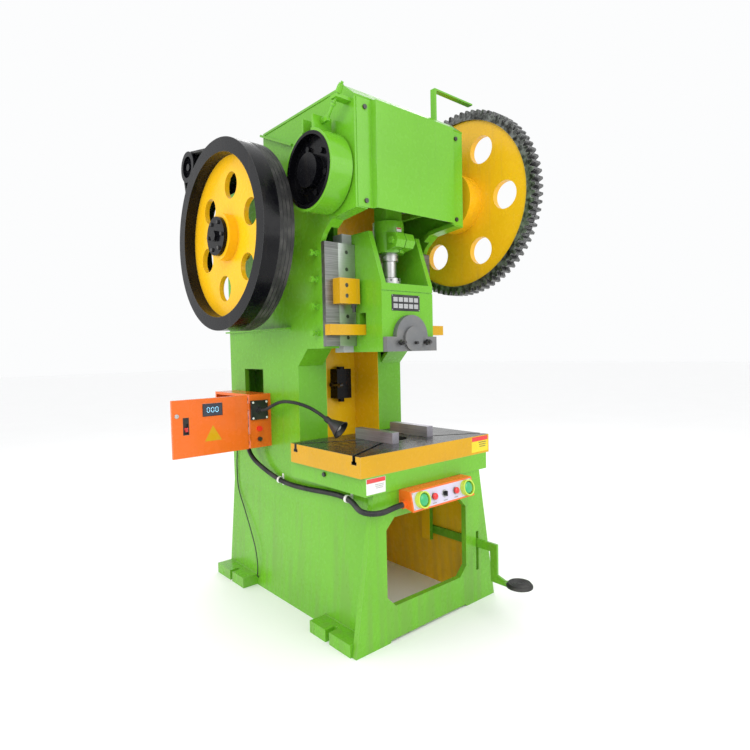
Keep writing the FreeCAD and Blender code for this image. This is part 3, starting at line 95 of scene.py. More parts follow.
class Net:
    # a thin helper that adds nodes to one tree and links them
    def __init__(self, tree):
        self.tree = tree

    def add(self, kind, **values):
        node = self.tree.nodes.new(kind)
        for key, value in values.items():
            setattr(node, key, value)
        return node

    def put(self, socket, value):
        if isinstance(value, bpy.types.NodeSocket):
            self.tree.links.new(value, socket)
        elif value is not None:
            socket.default_value = value

    def math(self, op, a, b=None):
        node = self.add("ShaderNodeMath", operation=op)
        for socket, value in zip(node.inputs, (a, b)):
            self.put(socket, value)
        return node.outputs[0]

    def mix(self, factor, a, b):
        node = self.add("ShaderNodeMix", data_type="RGBA")
        for index, value in ((0, factor), (6, a), (7, b)):
            self.put(node.inputs[index], value)
        return node.outputs[2]

    def noise(self, vector, scale, detail=3.0):
        node = self.add("ShaderNodeTexNoise")
        self.put(node.inputs["Vector"], vector)
        self.put(node.inputs["Scale"], scale)
        node.inputs["Detail"].default_value = detail
        return node.outputs["Fac"]

    def spread(self, value, low, high, outLow=0.0, outHigh=1.0):
        node = self.add("ShaderNodeMapRange", interpolation_type="SMOOTHSTEP")
        for index, v in enumerate((value, low, high, outLow, outHigh)):
            self.put(node.inputs[index], v)
        return node.outputs[0]

    def scaled(self, vector, by):
        node = self.add("ShaderNodeVectorMath", operation="MULTIPLY")
        self.put(node.inputs[0], vector)
        self.put(node.inputs[1], by)
        return node.outputs[0]

    def parts(self, vector):
        node = self.add("ShaderNodeSeparateXYZ")
        self.put(node.inputs[0], vector)
        return node.outputs

    def normal(self):
        return self.add("ShaderNodeNewGeometry").outputs["Normal"]

    def over(self, value, limit):
        return self.math("GREATER_THAN", value, limit)

    def under(self, value, limit):
        return self.math("LESS_THAN", value, limit)

    def every(self, *tests):
        # every test is a 0 or 1 value; their product is 1 only where all hold
        value = tests[0]
        for test in tests[1:]:
            value = self.math("MULTIPLY", value, test)
        return value


def newGroup(name, inputs, outputs):
    # a node group with its sockets, and the outputs and inputs at its two ends
    tree = bpy.data.node_groups.new(name, "ShaderNodeTree")
    for label, kind, value in inputs:
        socket = tree.interface.new_socket(label, in_out="INPUT", socket_type="NodeSocket" + kind)
        socket.default_value = value
    for label, kind in outputs:
        tree.interface.new_socket(label, in_out="OUTPUT", socket_type="NodeSocket" + kind)
    net = Net(tree)
    return tree, net, net.add("NodeGroupInput").outputs, net.add("NodeGroupOutput").inputs


edgeSet = {"samples": 3, "low": 0.01, "high": 0.22}


def edgeGroup():
    # how far the rounded normal leaves the flat one: white along edges, black on faces
    tree, net, i, o = newGroup("edgeWear", [("Radius", "Float", 0.004), ("Amount", "Float", 1.0)],
                               [("Mask", "Float")])
    bevel = net.add("ShaderNodeBevel", samples=edgeSet["samples"])
    net.put(bevel.inputs["Radius"], i["Radius"])
    dot = net.add("ShaderNodeVectorMath", operation="DOT_PRODUCT")
    net.put(dot.inputs[0], bevel.outputs[0])
    net.put(dot.inputs[1], net.normal())
    turn = net.math("SUBTRACT", 1.0, dot.outputs["Value"])
    worn = net.spread(turn, edgeSet["low"], edgeSet["high"])
    net.put(o["Mask"], net.math("MULTIPLY", worn, i["Amount"]))
    return tree


skinOut = [("Colour", "Color"), ("Roughness", "Float"), ("Height", "Float")]
enamelSet = {"cloudScale": 2.2, "cloudRange": (0.35, 0.7), "shade": 0.10, "peelScale": 34.0,
             "peelGloss": (0.3, 0.75, 0.2, 0.32), "streakGrain": (26, 26, 1.6), "dustTop": 0.9,
             "dustLow": 0.16, "dustRange": (0.55, 0.8), "dustTone": (0.16, 0.13, 0.09, 1), "dustRough": 0.4,
             "skinScale": 260.0}


def enamelGroup():
    # sprayed enamel: broad tone shifts, fine orange peel, dust in streaks that thickens towards the floor
    s = enamelSet
    tree, net, i, o = newGroup("sprayedEnamel", [("Place", "Vector", (0, 0, 0)),
                                                 ("Paint", "Color", (1, 1, 1, 1)),
                                                 ("Dust", "Float", 0.3)], skinOut)
    cloud = net.spread(net.noise(i["Place"], s["cloudScale"], 2), *s["cloudRange"])
    shade = net.mix(net.math("MULTIPLY", cloud, s["shade"]), i["Paint"], (0, 0, 0, 1))
    streak = net.noise(net.scaled(i["Place"], s["streakGrain"]), 1.0, 4)
    low = net.spread(net.parts(i["Place"])[2], s["dustTop"], 0.0)
    thick = net.math("ADD", streak, net.math("MULTIPLY", low, s["dustLow"]))
    dust = net.math("MULTIPLY", net.spread(thick, *s["dustRange"]), i["Dust"])
    net.put(o["Colour"], net.mix(dust, shade, s["dustTone"]))
    gloss = net.spread(net.noise(i["Place"], s["peelScale"], 4), *s["peelGloss"])
    net.put(o["Roughness"], net.math("ADD", gloss, net.math("MULTIPLY", dust, s["dustRough"])))
    net.put(o["Height"], net.noise(i["Place"], s["skinScale"], 2))
    return tree


groundSet = {"cloudScale": 9.0, "cloudRange": (0.42, 0.75, 0.0, 0.7), "oilShare": 0.45,
             "oil": (0.02, 0.018, 0.015, 1), "lineRange": (0.3, 0.75, 0.0, 0.3),
             "lineTone": (0.75, 0.76, 0.76, 1), "lineRough": (0.2, 0.8, 0.22, 0.36), "cloudRough": 0.12}


def groundGroup():
    # ground or milled steel: hairlines along one way, oil clouds over them
    s = groundSet
    tree, net, i, o = newGroup("groundSteel", [("Place", "Vector", (0, 0, 0)),
                                               ("Metal", "Color", (0.5, 0.5, 0.5, 1)),
                                               ("Grain", "Vector", (4, 400, 400))], skinOut)
    hairs = net.noise(net.scaled(i["Place"], i["Grain"]), 1.0, 3)
    cloud = net.noise(i["Place"], s["cloudScale"], 4)
    oiled = net.mix(s["oilShare"], i["Metal"], s["oil"])
    toned = net.mix(net.spread(cloud, *s["cloudRange"]), i["Metal"], oiled)
    net.put(o["Colour"], net.mix(net.spread(hairs, *s["lineRange"]), toned, s["lineTone"]))
    rough = net.spread(hairs, *s["lineRough"])
    net.put(o["Roughness"], net.math("ADD", rough, net.math("MULTIPLY", cloud, s["cloudRough"])))
    net.put(o["Height"], hairs)
    return tree


grainSet = {"blotchScale": 14.0, "blotchRange": (0.4, 0.75), "blotchTone": (0.25, 0.24, 0.22, 1),
            "roughRange": (0.3, 0.7, -0.06, 0.06)}


def grainGroup():
    # moulded or cast surface: fine grain and soft blotches
    s = grainSet
    tree, net, i, o = newGroup("mouldGrain", [("Place", "Vector", (0, 0, 0)),
                                              ("Body", "Color", (0.5, 0.5, 0.5, 1)),
                                              ("Size", "Float", 300.0), ("Blotch", "Float", 0.15)], skinOut)
    grain = net.noise(i["Place"], i["Size"], 3)
    blotch = net.spread(net.noise(i["Place"], s["blotchScale"], 4), *s["blotchRange"])
    net.put(o["Colour"], net.mix(net.math("MULTIPLY", blotch, i["Blotch"]), i["Body"], s["blotchTone"]))
    net.put(o["Roughness"], net.spread(grain, *s["roughRange"]))
    net.put(o["Height"], grain)
    return tree


groups = {"edge": edgeGroup(), "enamel": enamelGroup(), "ground": groundGroup(), "grain": grainGroup()}


def useGroup(net, key, **values):
    node = net.add("ShaderNodeGroup", node_tree=groups[key])
    for label, value in values.items():
        net.put(node.inputs[label], value)
    return node.outputs


def startMaterial(name):
    # a material's Principled shader, and object coordinates to place its texture
    mat = bpy.data.materials.new(name)
    mat.use_nodes = True
    net = Net(mat.node_tree)
    shader = mat.node_tree.nodes["Principled BSDF"]
    place = net.add("ShaderNodeTexCoord").outputs["Object"]
    return mat, net, shader, place


def addBump(net, shader, height, strength, distance):
    bump = net.add("ShaderNodeBump")
    bump.inputs["Strength"].default_value = strength
    bump.inputs["Distance"].default_value = distance
    net.put(bump.inputs["Height"], height)
    net.put(shader.inputs["Normal"], bump.outputs[0])


paint = {
    "green": (0.150, 0.455, 0.020, 1), "yellow": (0.64, 0.345, 0.003, 1), "wheel": (0.90, 0.50, 0.010, 1),
    "inside": (1.0, 0.62, 0.012, 1), "orange": (0.85, 0.155, 0.015, 1), "lilac": (0.62, 0.58, 0.70, 1),
    "black": (0.0035, 0.0035, 0.005, 1), "worn": (0.40, 0.41, 0.40, 1), "lime": (0.52, 0.72, 0.06, 1),
    "rimSteel": (0.010, 0.010, 0.009, 1), "bare": (0.42, 0.43, 0.43, 1),
}
filmSet = {"edge": 0.003, "bare": 0.5, "coatRough": 0.12, "bump": 0.12, "deep": 0.0006}


def enamel(name, colour, second=None, where=None, dust=0.3, wear=0.35, coat=0.12, shine=0.32):
    # sprayed paint with worn edges; where(net, place) gives the mask of the second paint
    s = filmSet
    mat, net, shader, place = startMaterial(name)
    base = colour if second is None else net.mix(where(net, place), colour, second)
    film = useGroup(net, "enamel", Place=place, Paint=base, Dust=dust)
    edge = useGroup(net, "edge", Radius=s["edge"], Amount=wear)
    bare = net.mix(s["bare"], film["Colour"], paint["worn"])
    net.put(shader.inputs["Base Color"], net.mix(edge["Mask"], film["Colour"], bare))
    net.put(shader.inputs["Roughness"], film["Roughness"])
    shader.inputs["Coat Weight"].default_value = coat
    shader.inputs["Coat Roughness"].default_value = s["coatRough"]
    shader.inputs["Specular IOR Level"].default_value = shine
    addBump(net, shader, film["Height"], s["bump"], s["deep"])
    return mat


steelSet = {"metallic": 0.9, "bump": 0.15, "deep": 0.0003}


def steel(name, metal, grain=(5, 420, 420), rough=0.0):
    # ground steel whose hairlines run along the axis with the smallest grain number
    mat, net, shader, place = startMaterial(name)
    skin = useGroup(net, "ground", Place=place, Metal=metal, Grain=grain)
    net.put(shader.inputs["Base Color"], skin["Colour"])
    net.put(shader.inputs["Roughness"], net.math("ADD", skin["Roughness"], rough))
    shader.inputs["Metallic"].default_value = steelSet["metallic"]
    addBump(net, shader, skin["Height"], steelSet["bump"], steelSet["deep"])
    return mat


mouldedDeep = 0.0005


def moulded(name, colour, rough, size=320.0, blotch=0.12, metallic=0.0, bump=0.15, coat=0.0):
    # plastic, rubber and castings: grain in the height, blotches in the colour
    mat, net, shader, place = startMaterial(name)
    skin = useGroup(net, "grain", Place=place, Body=colour, Size=size, Blotch=blotch)
    net.put(shader.inputs["Base Color"], skin["Colour"])
    net.put(shader.inputs["Roughness"], net.math("ADD", skin["Roughness"], rough))
    shader.inputs["Metallic"].default_value = metallic
    shader.inputs["Coat Weight"].default_value = coat
    addBump(net, shader, skin["Height"], bump, mouldedDeep)
    return mat


# masks for pieces that carry two paints: metres, and normal parts for the two facing limits
maskSet = {
    "facing": 0.4, "panelFacing": 0.9, "columnInner": 0.1765, "columnFront": 0.297, "baseInner": 0.375,
    "baseFront": -0.2295, "baseRear": 0.9, "plateFront": 0.45, "plateFoot": 0.7495, "tableHalf": 0.4226,
    "tableFront": -0.2646, "tableRear": 0.2636, "tableSkin": 0.8395, "panelHalf": 0.196, "panelLow": 0.588,
    "panelHigh": 0.661, "gearRim": 0.4385, "wheelRim": 0.3875, "ramHalf": 0.1675,
}


def within(net, value, half):
    return net.under(net.math("ABSOLUTE", value), half)


def columnInside(net, place):
    # the faces between the columns, behind the throat's front edge
    p, s = net.parts(place), maskSet
    return net.every(within(net, p[0], s["columnInner"]), net.over(p[1], s["columnFront"]))


def baseInside(net, place):
    # skirt faces that look to the middle, and the rear plate's face that looks forward
    p, n, s = net.parts(place), net.parts(net.normal()), maskSet
    facing = net.under(net.math("MULTIPLY", net.math("SIGN", p[0]), n[0]), -s["facing"])
    rear = net.every(net.over(p[1], s["baseRear"]), net.under(n[1], -s["facing"]))
    behind = net.over(p[1], s["baseFront"])
    return net.every(net.math("MAXIMUM", facing, rear), behind, within(net, p[0], s["baseInner"]))


def backPlate(net, place):
    # the throat's back plate, above its foot
    p, s = net.parts(place), maskSet
    return net.every(net.over(p[1], s["plateFront"]), net.over(p[2], s["plateFoot"]))


def tableSides(net, place):
    # outside the table's rectangle and below its ground top
    p, s = net.parts(place), maskSet
    x = net.over(net.math("ABSOLUTE", p[0]), s["tableHalf"])
    y = net.math("MAXIMUM", net.under(p[1], s["tableFront"]), net.over(p[1], s["tableRear"]))
    return net.every(net.math("MAXIMUM", x, y), net.under(p[2], s["tableSkin"]))


def panelFace(net, place):
    # a rectangle on the face that looks to the front
    p, n, s = net.parts(place), net.parts(net.normal()), maskSet
    return net.every(net.under(n[1], -s["panelFacing"]), within(net, p[0], s["panelHalf"]),
                     net.over(p[2], s["panelLow"]), net.under(p[2], s["panelHigh"]))


def beyondRadius(centre, radius):
    # true outside a cylinder along X about (y, z)
    def mask(net, place):
        p = net.parts(place)
        y = net.math("SUBTRACT", p[1], centre[0])
        z = net.math("SUBTRACT", p[2], centre[1])
        square = net.math("ADD", net.math("MULTIPLY", y, y), net.math("MULTIPLY", z, z))
        return net.over(net.math("SQRT", square), radius)
    return mask


def wideOf(half):
    # true further than the half width from the middle plane
    def mask(net, place):
        return net.over(net.math("ABSOLUTE", net.parts(place)[0]), half)
    return mask


# shaft axes run along X through (y, z); the drive shaft lies behind and below the crank
crankAxis = (0.0, 2.059)
driveSet = {"reach": 0.558, "angle": math.radians(-23)}
driveAxis = (crankAxis[0] + driveSet["reach"] * math.cos(driveSet["angle"]),
             crankAxis[1] + driveSet["reach"] * math.sin(driveSet["angle"]))
# the rim's wear and bare entries paint a highlight: the rim's edges are mixed towards pale steel
rimSet = {"dust": 0.15, "grain": (300, 40, 40), "edge": 0.004, "wear": 0.5, "bare": (0.5, 0.5, 0.48, 1),
          "metallic": 0.7, "rough": 0.08, "bump": 0.1, "deep": 0.0005}


def ringMetal(name, colour, rim, centre, radius):
    # painted web inside a radius, bare oiled steel outside it, whose edges are lightened as a painted
    # highlight
    s = rimSet
    mat, net, shader, place = startMaterial(name)
    mask = beyondRadius(centre, radius)(net, place)
    film = useGroup(net, "enamel", Place=place, Paint=net.mix(mask, colour, rim), Dust=s["dust"])
    skin = useGroup(net, "ground", Place=place, Metal=rim, Grain=s["grain"])
    edge = useGroup(net, "edge", Radius=s["edge"], Amount=s["wear"])
    # painted highlight: the edge mask lightens the dark steel rim towards pale steel
    rimHighlighted = net.mix(edge["Mask"], skin["Colour"], s["bare"])
    net.put(shader.inputs["Base Color"], net.mix(mask, film["Colour"], rimHighlighted))
    net.put(shader.inputs["Metallic"], net.math("MULTIPLY", mask, s["metallic"]))
    dull = net.math("MULTIPLY", mask, s["rough"])
    net.put(shader.inputs["Roughness"], net.math("ADD", film["Roughness"], dull))
    addBump(net, shader, film["Height"], s["bump"], s["deep"])
    return mat


glowSet = {"scale": 200.0, "shade": 0.8, "rough": 0.2}


def lit(name, colour, power):
    # a lens or a screen that shines by itself, a little uneven
    mat, net, shader, place = startMaterial(name)
    deeper = tuple(c * glowSet["shade"] for c in colour)
    net.put(shader.inputs["Base Color"], net.mix(net.noise(place, glowSet["scale"]), colour, deeper))
    shader.inputs["Roughness"].default_value = glowSet["rough"]
    shader.inputs["Emission Color"].default_value = colour
    shader.inputs["Emission Strength"].default_value = power
    return mat


m = {
    "green": enamel("greenEnamel", paint["green"], dust=0.12),
    "cover": enamel("coverEnamel", paint["green"], dust=0.08, coat=0.22),
    "column": enamel("columnEnamel", paint["green"], paint["inside"], columnInside, dust=0.12),
    "base": enamel("baseEnamel", paint["green"], paint["inside"], baseInside, dust=0.18),
    "bed": enamel("bedEnamel", paint["green"], paint["inside"], backPlate, dust=0.12),
    "yellow": enamel("yellowEnamel", paint["yellow"], dust=0.15),
    "lemon": enamel("lemonPlate", (0.78, 0.62, 0.02, 1), dust=0.05, wear=0.0),
    "orange": enamel("orangeEnamel", paint["orange"], dust=0.06, wear=0.08),
    "panel": enamel("panelEnamel", paint["orange"], paint["lilac"], panelFace, dust=0.05),
    "black": enamel("blackEnamel", paint["black"], dust=0.04, wear=0.12, coat=0.05, shine=0.14),
    "gear": ringMetal("gearMetal", paint["wheel"], paint["rimSteel"], crankAxis, maskSet["gearRim"]),
    "flywheel": enamel("flywheelEnamel", paint["wheel"], paint["black"],
                       beyondRadius(driveAxis, maskSet["wheelRim"]), dust=0.06, coat=0.05, shine=0.16),
    "ram": enamel("ramEnamel", paint["green"], paint["bare"], wideOf(maskSet["ramHalf"]), dust=0.1),
    "table": enamel("tableSteel", (0.026, 0.027, 0.026, 1), paint["yellow"], tableSides, dust=0.1, wear=0.7,
                    coat=0.0),
    "steel": steel("groundBar", paint["bare"]),
    "darkSteel": steel("darkBar", (0.13, 0.13, 0.13, 1), rough=0.1),
    "block": steel("blockSteel", (0.34, 0.32, 0.37, 1), grain=(300, 5, 300), rough=0.1),
    "turned": steel("turnedSteel", (0.46, 0.46, 0.45, 1), grain=(60, 60, 520)),
    "casting": moulded("greyCasting", (0.17, 0.175, 0.18, 1), 0.5, size=150.0, blotch=0.5, metallic=0.5,
                       bump=0.4),
    "bolt": moulded("blackenedSteel", (0.06, 0.06, 0.062, 1), 0.4, metallic=0.8, blotch=0.5),
    "rubber": moulded("beltRubber", (0.012, 0.012, 0.012, 1), 0.62, size=500.0, blotch=0.2),
    "plastic": moulded("blackPlastic", (0.005, 0.006, 0.008, 1), 0.42, size=600.0),
    "greyPlastic": moulded("greyPlastic", (0.28, 0.29, 0.30, 1), 0.45),
    "white": moulded("whitePlastic", (0.82, 0.82, 0.79, 1), 0.4),
    "red": moulded("redPlastic", (0.70, 0.012, 0.012, 1), 0.22, bump=0.05, coat=0.5),
    "lime": moulded("limePlastic", paint["lime"], 0.25, bump=0.05, coat=0.4),
    "mint": moulded("greenPlastic", (0.02, 0.42, 0.13, 1), 0.22, bump=0.05, coat=0.5),
    "screen": moulded("displayGlass", (0.006, 0.012, 0.035, 1), 0.12, bump=0.02, coat=0.8),
    "bulb": lit("frostedBulb", (0.55, 0.54, 0.50, 1), 0.02),
    "digits": lit("litDigits", (0.35, 0.75, 1.0, 1), 1.6),
    "redLamp": lit("redLens", (0.75, 0.02, 0.015, 1), 0.25),
    "copper": moulded("wireInsulation", (0.45, 0.10, 0.03, 1), 0.4),
    "blueWire": moulded("blueInsulation", (0.02, 0.08, 0.4, 1), 0.4),
    "weld": enamel("weldPaint", tuple(c * 0.92 for c in paint["green"][:3]) + (1,), dust=0.2, wear=0.6),
}
print("materials made")

cadFinish = {
    "column": "column_left column_right", "base": "base_frame", "bed": "bed_plate",
    "green": "con_rod shaft_bearings brake_band pedal_lever motor_plate adjusting_bolts brake_tie_rod "
             "rod_clamp_bolt",
    "cover": "head_shell front_cover",
    "ram": "ram", "yellow": "stop_blocks knockout_bar", "gear": "big_gear", "flywheel": "flywheel",
    "table": "bolster_plate", "block": "parallel_blocks", "steel": "gibs crankshaft pinion_shaft",
    "turned": "adjusting_screw lock_nut ball_retaining_ring", "darkSteel": "guide_bars",
    "casting": "shank_clamp",
    "black": "brake_drum motor_body motor_pulley flywheel_cap lubricator",
    "bolt": "screws clamp_studs lubricator_lever",
    "rubber": "v_belts pedal_pad", "orange": "cabinet_body cabinet_door", "panel": "panel_box",
    "plastic": "lamp_head lamp_base cabinet_button breaker_housing selector_knob lamp_arm conduit "
               "supply_cable",
    "greyPlastic": "cabinet_switchgear", "white": "conduit_clips", "screen": "door_display",
    "red": "breaker_lever stop_button inch_button", "redLamp": "pilot_lamp", "lime": "button_collars",
    "mint": "palm_button_left palm_button_right",
}
for key, names in cadFinish.items():
    for nodeName in names.split():
        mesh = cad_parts[nodeName].data
        mesh.materials.clear()
        mesh.materials.append(m[key])
print("frame pieces painted")


meshSet = {"join": 1e-6, "least": 1e-7}


def addPiece(name, verts, faces, look, body="root", crisp=0.6):
    # one mesh object: doubled points joined, faces turned outward, edges sharper than crisp kept sharp
    mesh = bpy.data.meshes.new(name)
    mesh.from_pydata(np.asarray(verts, float).reshape(-1, 3).tolist(), [], np.asarray(faces).tolist())
    work = bmesh.new()
    work.from_mesh(mesh)
    bmesh.ops.remove_doubles(work, verts=work.verts, dist=meshSet["join"])
    bmesh.ops.dissolve_degenerate(work, edges=work.edges, dist=meshSet["least"])
    bmesh.ops.recalc_face_normals(work, faces=work.faces)
    work.to_mesh(mesh)
    work.free()
    mesh.shade_smooth()
    mesh.set_sharp_from_angle(angle=crisp)
    mesh.materials.append(m[look])
    piece = bpy.data.objects.new(name, mesh)
    bpy.context.collection.objects.link(piece)
    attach(piece, body)
    return piece


def gridFaces(rows, cols, wrap=True):
    # quads between neighbouring rows and columns; the last column joins the first when it wraps
    across = np.arange(cols if wrap else cols - 1)
    r, c = np.meshgrid(np.arange(rows - 1), across, indexing="ij")
    n = (c + 1) % cols
    return np.stack([r * cols + c, r * cols + n, (r + 1) * cols + n, (r + 1) * cols + c], -1).reshape(-1, 4)


def basis(axis):
    # two unit vectors across a given axis
    a = np.array(axis, float) / np.linalg.norm(axis)
    side = np.cross(a, (0, 0, 1) if abs(a[2]) < 0.9 else (1, 0, 0))
    side /= np.linalg.norm(side)
    return side, np.cross(a, side), a


def turnedShape(name, profile, centre, axis, look, body="root", sides=48):
    # P(t, a) = centre + r(t) (cos a, sin a) across the axis + h(t) along it
    u, v, w = basis(axis)
    p = np.array(profile, float)
    a = np.linspace(0, 2 * np.pi, sides, endpoint=False)
    ring = np.cos(a)[:, None] * u + np.sin(a)[:, None] * v
    verts = np.array(centre) + p[:, 0, None, None] * ring + p[:, 1, None, None] * w
    return addPiece(name, verts, gridFaces(len(p), sides), look, body)


def domed(radius, low, high, steps=10):
    # a quarter ellipse from the rim at the low height up to the top's middle
    t = np.linspace(0, np.pi / 2, steps)
    return [(radius * math.cos(k), low + (high - low) * math.sin(k)) for k in t]


def sweep(name, points, radius, look, sides):
    # P(s, a) = C(s) + r(s) (cos a N(s) + sin a B(s)), with N carried along so that it never twists
    c = np.asarray(points, float)
    t = np.gradient(c, axis=0)
    t /= np.linalg.norm(t, axis=1)[:, None]
    n = np.zeros_like(t)
    n[0] = basis(t[0])[0]
    for k in range(1, len(t)):
        n[k] = n[k - 1] - t[k] * np.dot(n[k - 1], t[k])
        n[k] /= np.linalg.norm(n[k])
    b = np.cross(t, n)
    a = np.linspace(0, 2 * np.pi, sides, endpoint=False)
    ring = np.cos(a)[None, :, None] * n[:, None] + np.sin(a)[None, :, None] * b[:, None]
    verts = c[:, None] + np.asarray(radius, float)[:, None, None] * ring
    verts = np.concatenate([np.repeat(c[:1, None], sides, 1), verts, np.repeat(c[-1:, None], sides, 1)])
    return addPiece(name, verts, gridFaces(len(verts), sides), look, crisp=1.2)


def slab(name, centre, half, corner, thick, across, up, look, body="root", edge=0.0006, sides=32):
    # a rounded rectangle carried up a chamfered edge; the first and last rows shut it at the middle
    u, v = np.array(across, float), np.array(up, float)
    w = np.cross(u, v)
    a = np.linspace(0, 2 * np.pi, sides, endpoint=False)
    cx = np.sign(np.cos(a)) * (half[0] - corner) + corner * np.cos(a)
    cy = np.sign(np.sin(a)) * (half[1] - corner) + corner * np.sin(a)
    rows = [(0, 0, 0), (1, 0, 0), (1, 0, thick - edge), (1, -edge, thick), (0, 0, thick)]
    verts = []
    for size, grow, height in rows:
        x, y = cx * size + np.cos(a) * grow, cy * size + np.sin(a) * grow
        verts.append(np.array(centre) + x[:, None] * u + y[:, None] * v + height * w)
    return addPiece(name, np.array(verts), gridFaces(len(rows), sides), look, body)


def splinePoints(route, step):
    # the route's own NURBS line, read from a curve with no bevel, then spaced evenly along its length
    curve = routeCurve("route", route)
    piece = bpy.data.objects.new("route", curve)
    mesh = bpy.data.meshes.new_from_object(piece)
    line = np.array([p.co[:] for p in mesh.vertices])
    bpy.data.objects.remove(piece)
    bpy.data.meshes.remove(mesh)
    along = np.concatenate([[0], np.cumsum(np.linalg.norm(np.diff(line, axis=0), axis=1))])
    s = np.linspace(0, along[-1], max(8, int(along[-1] / step)))
    return np.stack([np.interp(s, along, line[:, k]) for k in range(3)], 1), s


def routeCurve(name, route):
    # a quadratic NURBS line through the ends of a route in millimetres
    curve = bpy.data.curves.new(name, "CURVE")
    curve.dimensions = "3D"
    curve.resolution_u = 16
    spline = curve.splines.new("NURBS")
    spline.points.add(len(route) - 1)
    for point, spot in zip(spline.points, route):
        point.co = (spot[0] / 1000, spot[1] / 1000, spot[2] / 1000, 1)
    spline.order_u = 3
    spline.use_endpoint_u = True
    return curve


conduitSet = {"diameter": 0.025, "pitch": 0.0058, "depth": 0.0016, "route": [
    (-400, 735, 790), (-400, 735, 757), (-398, 719, 726), (-392, 690, 698), (-383, 650, 673),
    (-374, 598, 650), (-368, 534, 630), (-366, 465, 617), (-367, 394, 611), (-366, 322, 610),
    (-367, 250, 613), (-366, 178, 617), (-367, 106, 623), (-366, 34, 628), (-367, -30, 631),
    (-370, -84, 631), (-374, -130, 626), (-384, -172, 617), (-397, -208, 609), (-404, -243, 605),
    (-396, -276, 603), (-371, -298, 602), (-335, -305, 602), (-292, -300, 605), (-248, -294, 608),
    (-200, -294, 608)]}
cableSet = {"diameter": 0.006, "route": [
    (-356, 950, 780), (-354, 958, 738), (-352, 966, 686), (-353, 972, 630), (-352, 974, 574),
    (-354, 968, 520), (-358, 946, 474), (-364, 908, 434), (-370, 866, 396), (-377, 822, 350),
    (-383, 778, 302), (-389, 736, 252), (-393, 702, 202), (-396, 683, 154), (-397, 675, 112),
    (-397, 678, 74), (-396, 690, 44), (-366, 692, 40)]}
armSet = {"diameter": 0.017, "pitch": 0.0042, "depth": 0.0013, "route": [
    (-418, 563, 979), (-418, 512, 979), (-414, 452, 1004), (-404, 380, 1032), (-390, 300, 1034),
    (-370, 225, 1022), (-346, 155, 996), (-326, 105, 962)]}


rippleSteps = 6


def corrugated(name, s):
    # the radius ripples as a cosine of the length along the line
    line, along = splinePoints(s["route"], s["pitch"] / rippleSteps)
    wave = 0.5 - 0.5 * np.cos(2 * np.pi * along / s["pitch"])
    radius = s["diameter"] / 2 - s["depth"] * wave ** 2
    return sweep(name, line, radius, "plastic", sides=14), line, along[-1]


def makeCords():
    # two cords and the lamp's arm, each along its own route
    conduit, line, length = corrugated("conduitHose", conduitSet)
    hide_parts("conduit")
    curve = routeCurve("supplyFlex", cableSet["route"])
    curve.bevel_depth = cableSet["diameter"] / 2
    curve.bevel_resolution = 4
    curve.use_fill_caps = True
    curve.materials.append(m["plastic"])
    flex = bpy.data.objects.new("supplyFlex", curve)
    bpy.context.collection.objects.link(flex)
    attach(flex, "root")
    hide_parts("supply_cable")
    line, along = splinePoints(cableSet["route"], 0.004)
    arm = corrugated("gooseneck", armSet)[0]
    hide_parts("lamp_arm")
    print("cords made")


def ringRow(name, s, at, axis, look, body="root"):
    # ring k is the profile (r, h) moved k steps outward or along the axis, and turned about it
    for k in range(s["count"]):
        outward, along = (s["start"][n] + s["step"][n] * k for n in (0, 1))
        ring = [(outward + r, along + h) for r, h in s["profile"]]
        turnedShape(f"{name}{k}", ring, at, axis, look, body, sides=s["sides"])


lampSet = {
    "neck": [(0, 0.040), (0.012, 0.040), (0.013, 0.052)], "bulb": (0.026, 0.060, 0.090),
    "rim": [(0.0412, 0.0950), (0.0452, 0.0950), (0.0462, 0.0965), (0.0452, 0.0980), (0.0412, 0.0980),
            (0.0412, 0.0950)],
    "grip": {"count": 5, "start": (0, 0.004), "step": (0, 0.0052), "sides": 32,
             "profile": [(0.0141, 0), (0.0150, 0.0008), (0.0150, 0.0022), (0.0141, 0.003), (0.0141, 0)]},
}


def makeLamp():
    # profiles (r, h) turned about the line on which the gooseneck ends
    s = lampSet
    tip, before = (np.array(armSet["route"][k]) / 1000 for k in (-1, -2))
    way = (tip - before) / np.linalg.norm(tip - before)
    turnedShape("lampBulb", s["neck"] + domed(*s["bulb"]), tip, way, "bulb")
    turnedShape("lampRim", s["rim"], tip, way, "plastic", sides=64)
    ringRow("lampGrip", s["grip"], tip, way, "plastic")
    print("lamp made")


domeSet = {
    "panel": {"r": 0.0045, "low": 0.0008, "high": 0.0024, "steps": 5, "sides": 20},
    "ram": {"r": 0.0026, "low": 0.0004, "high": 0.0016, "steps": 5, "sides": 16},
    "lamp": {"r": 0.0062, "low": 0.001, "high": 0.0035, "steps": 6, "sides": 24},
}


def domeHead(name, key, spot, axis, look, body="root"):
    # a flat foot and a low dome turned about the screw's axis
    s = domeSet[key]
    profile = [(0, 0), (s["r"], 0)] + domed(s["r"], s["low"], s["high"], s["steps"])
    turnedShape(name, profile, spot, axis, look, body, sides=s["sides"])


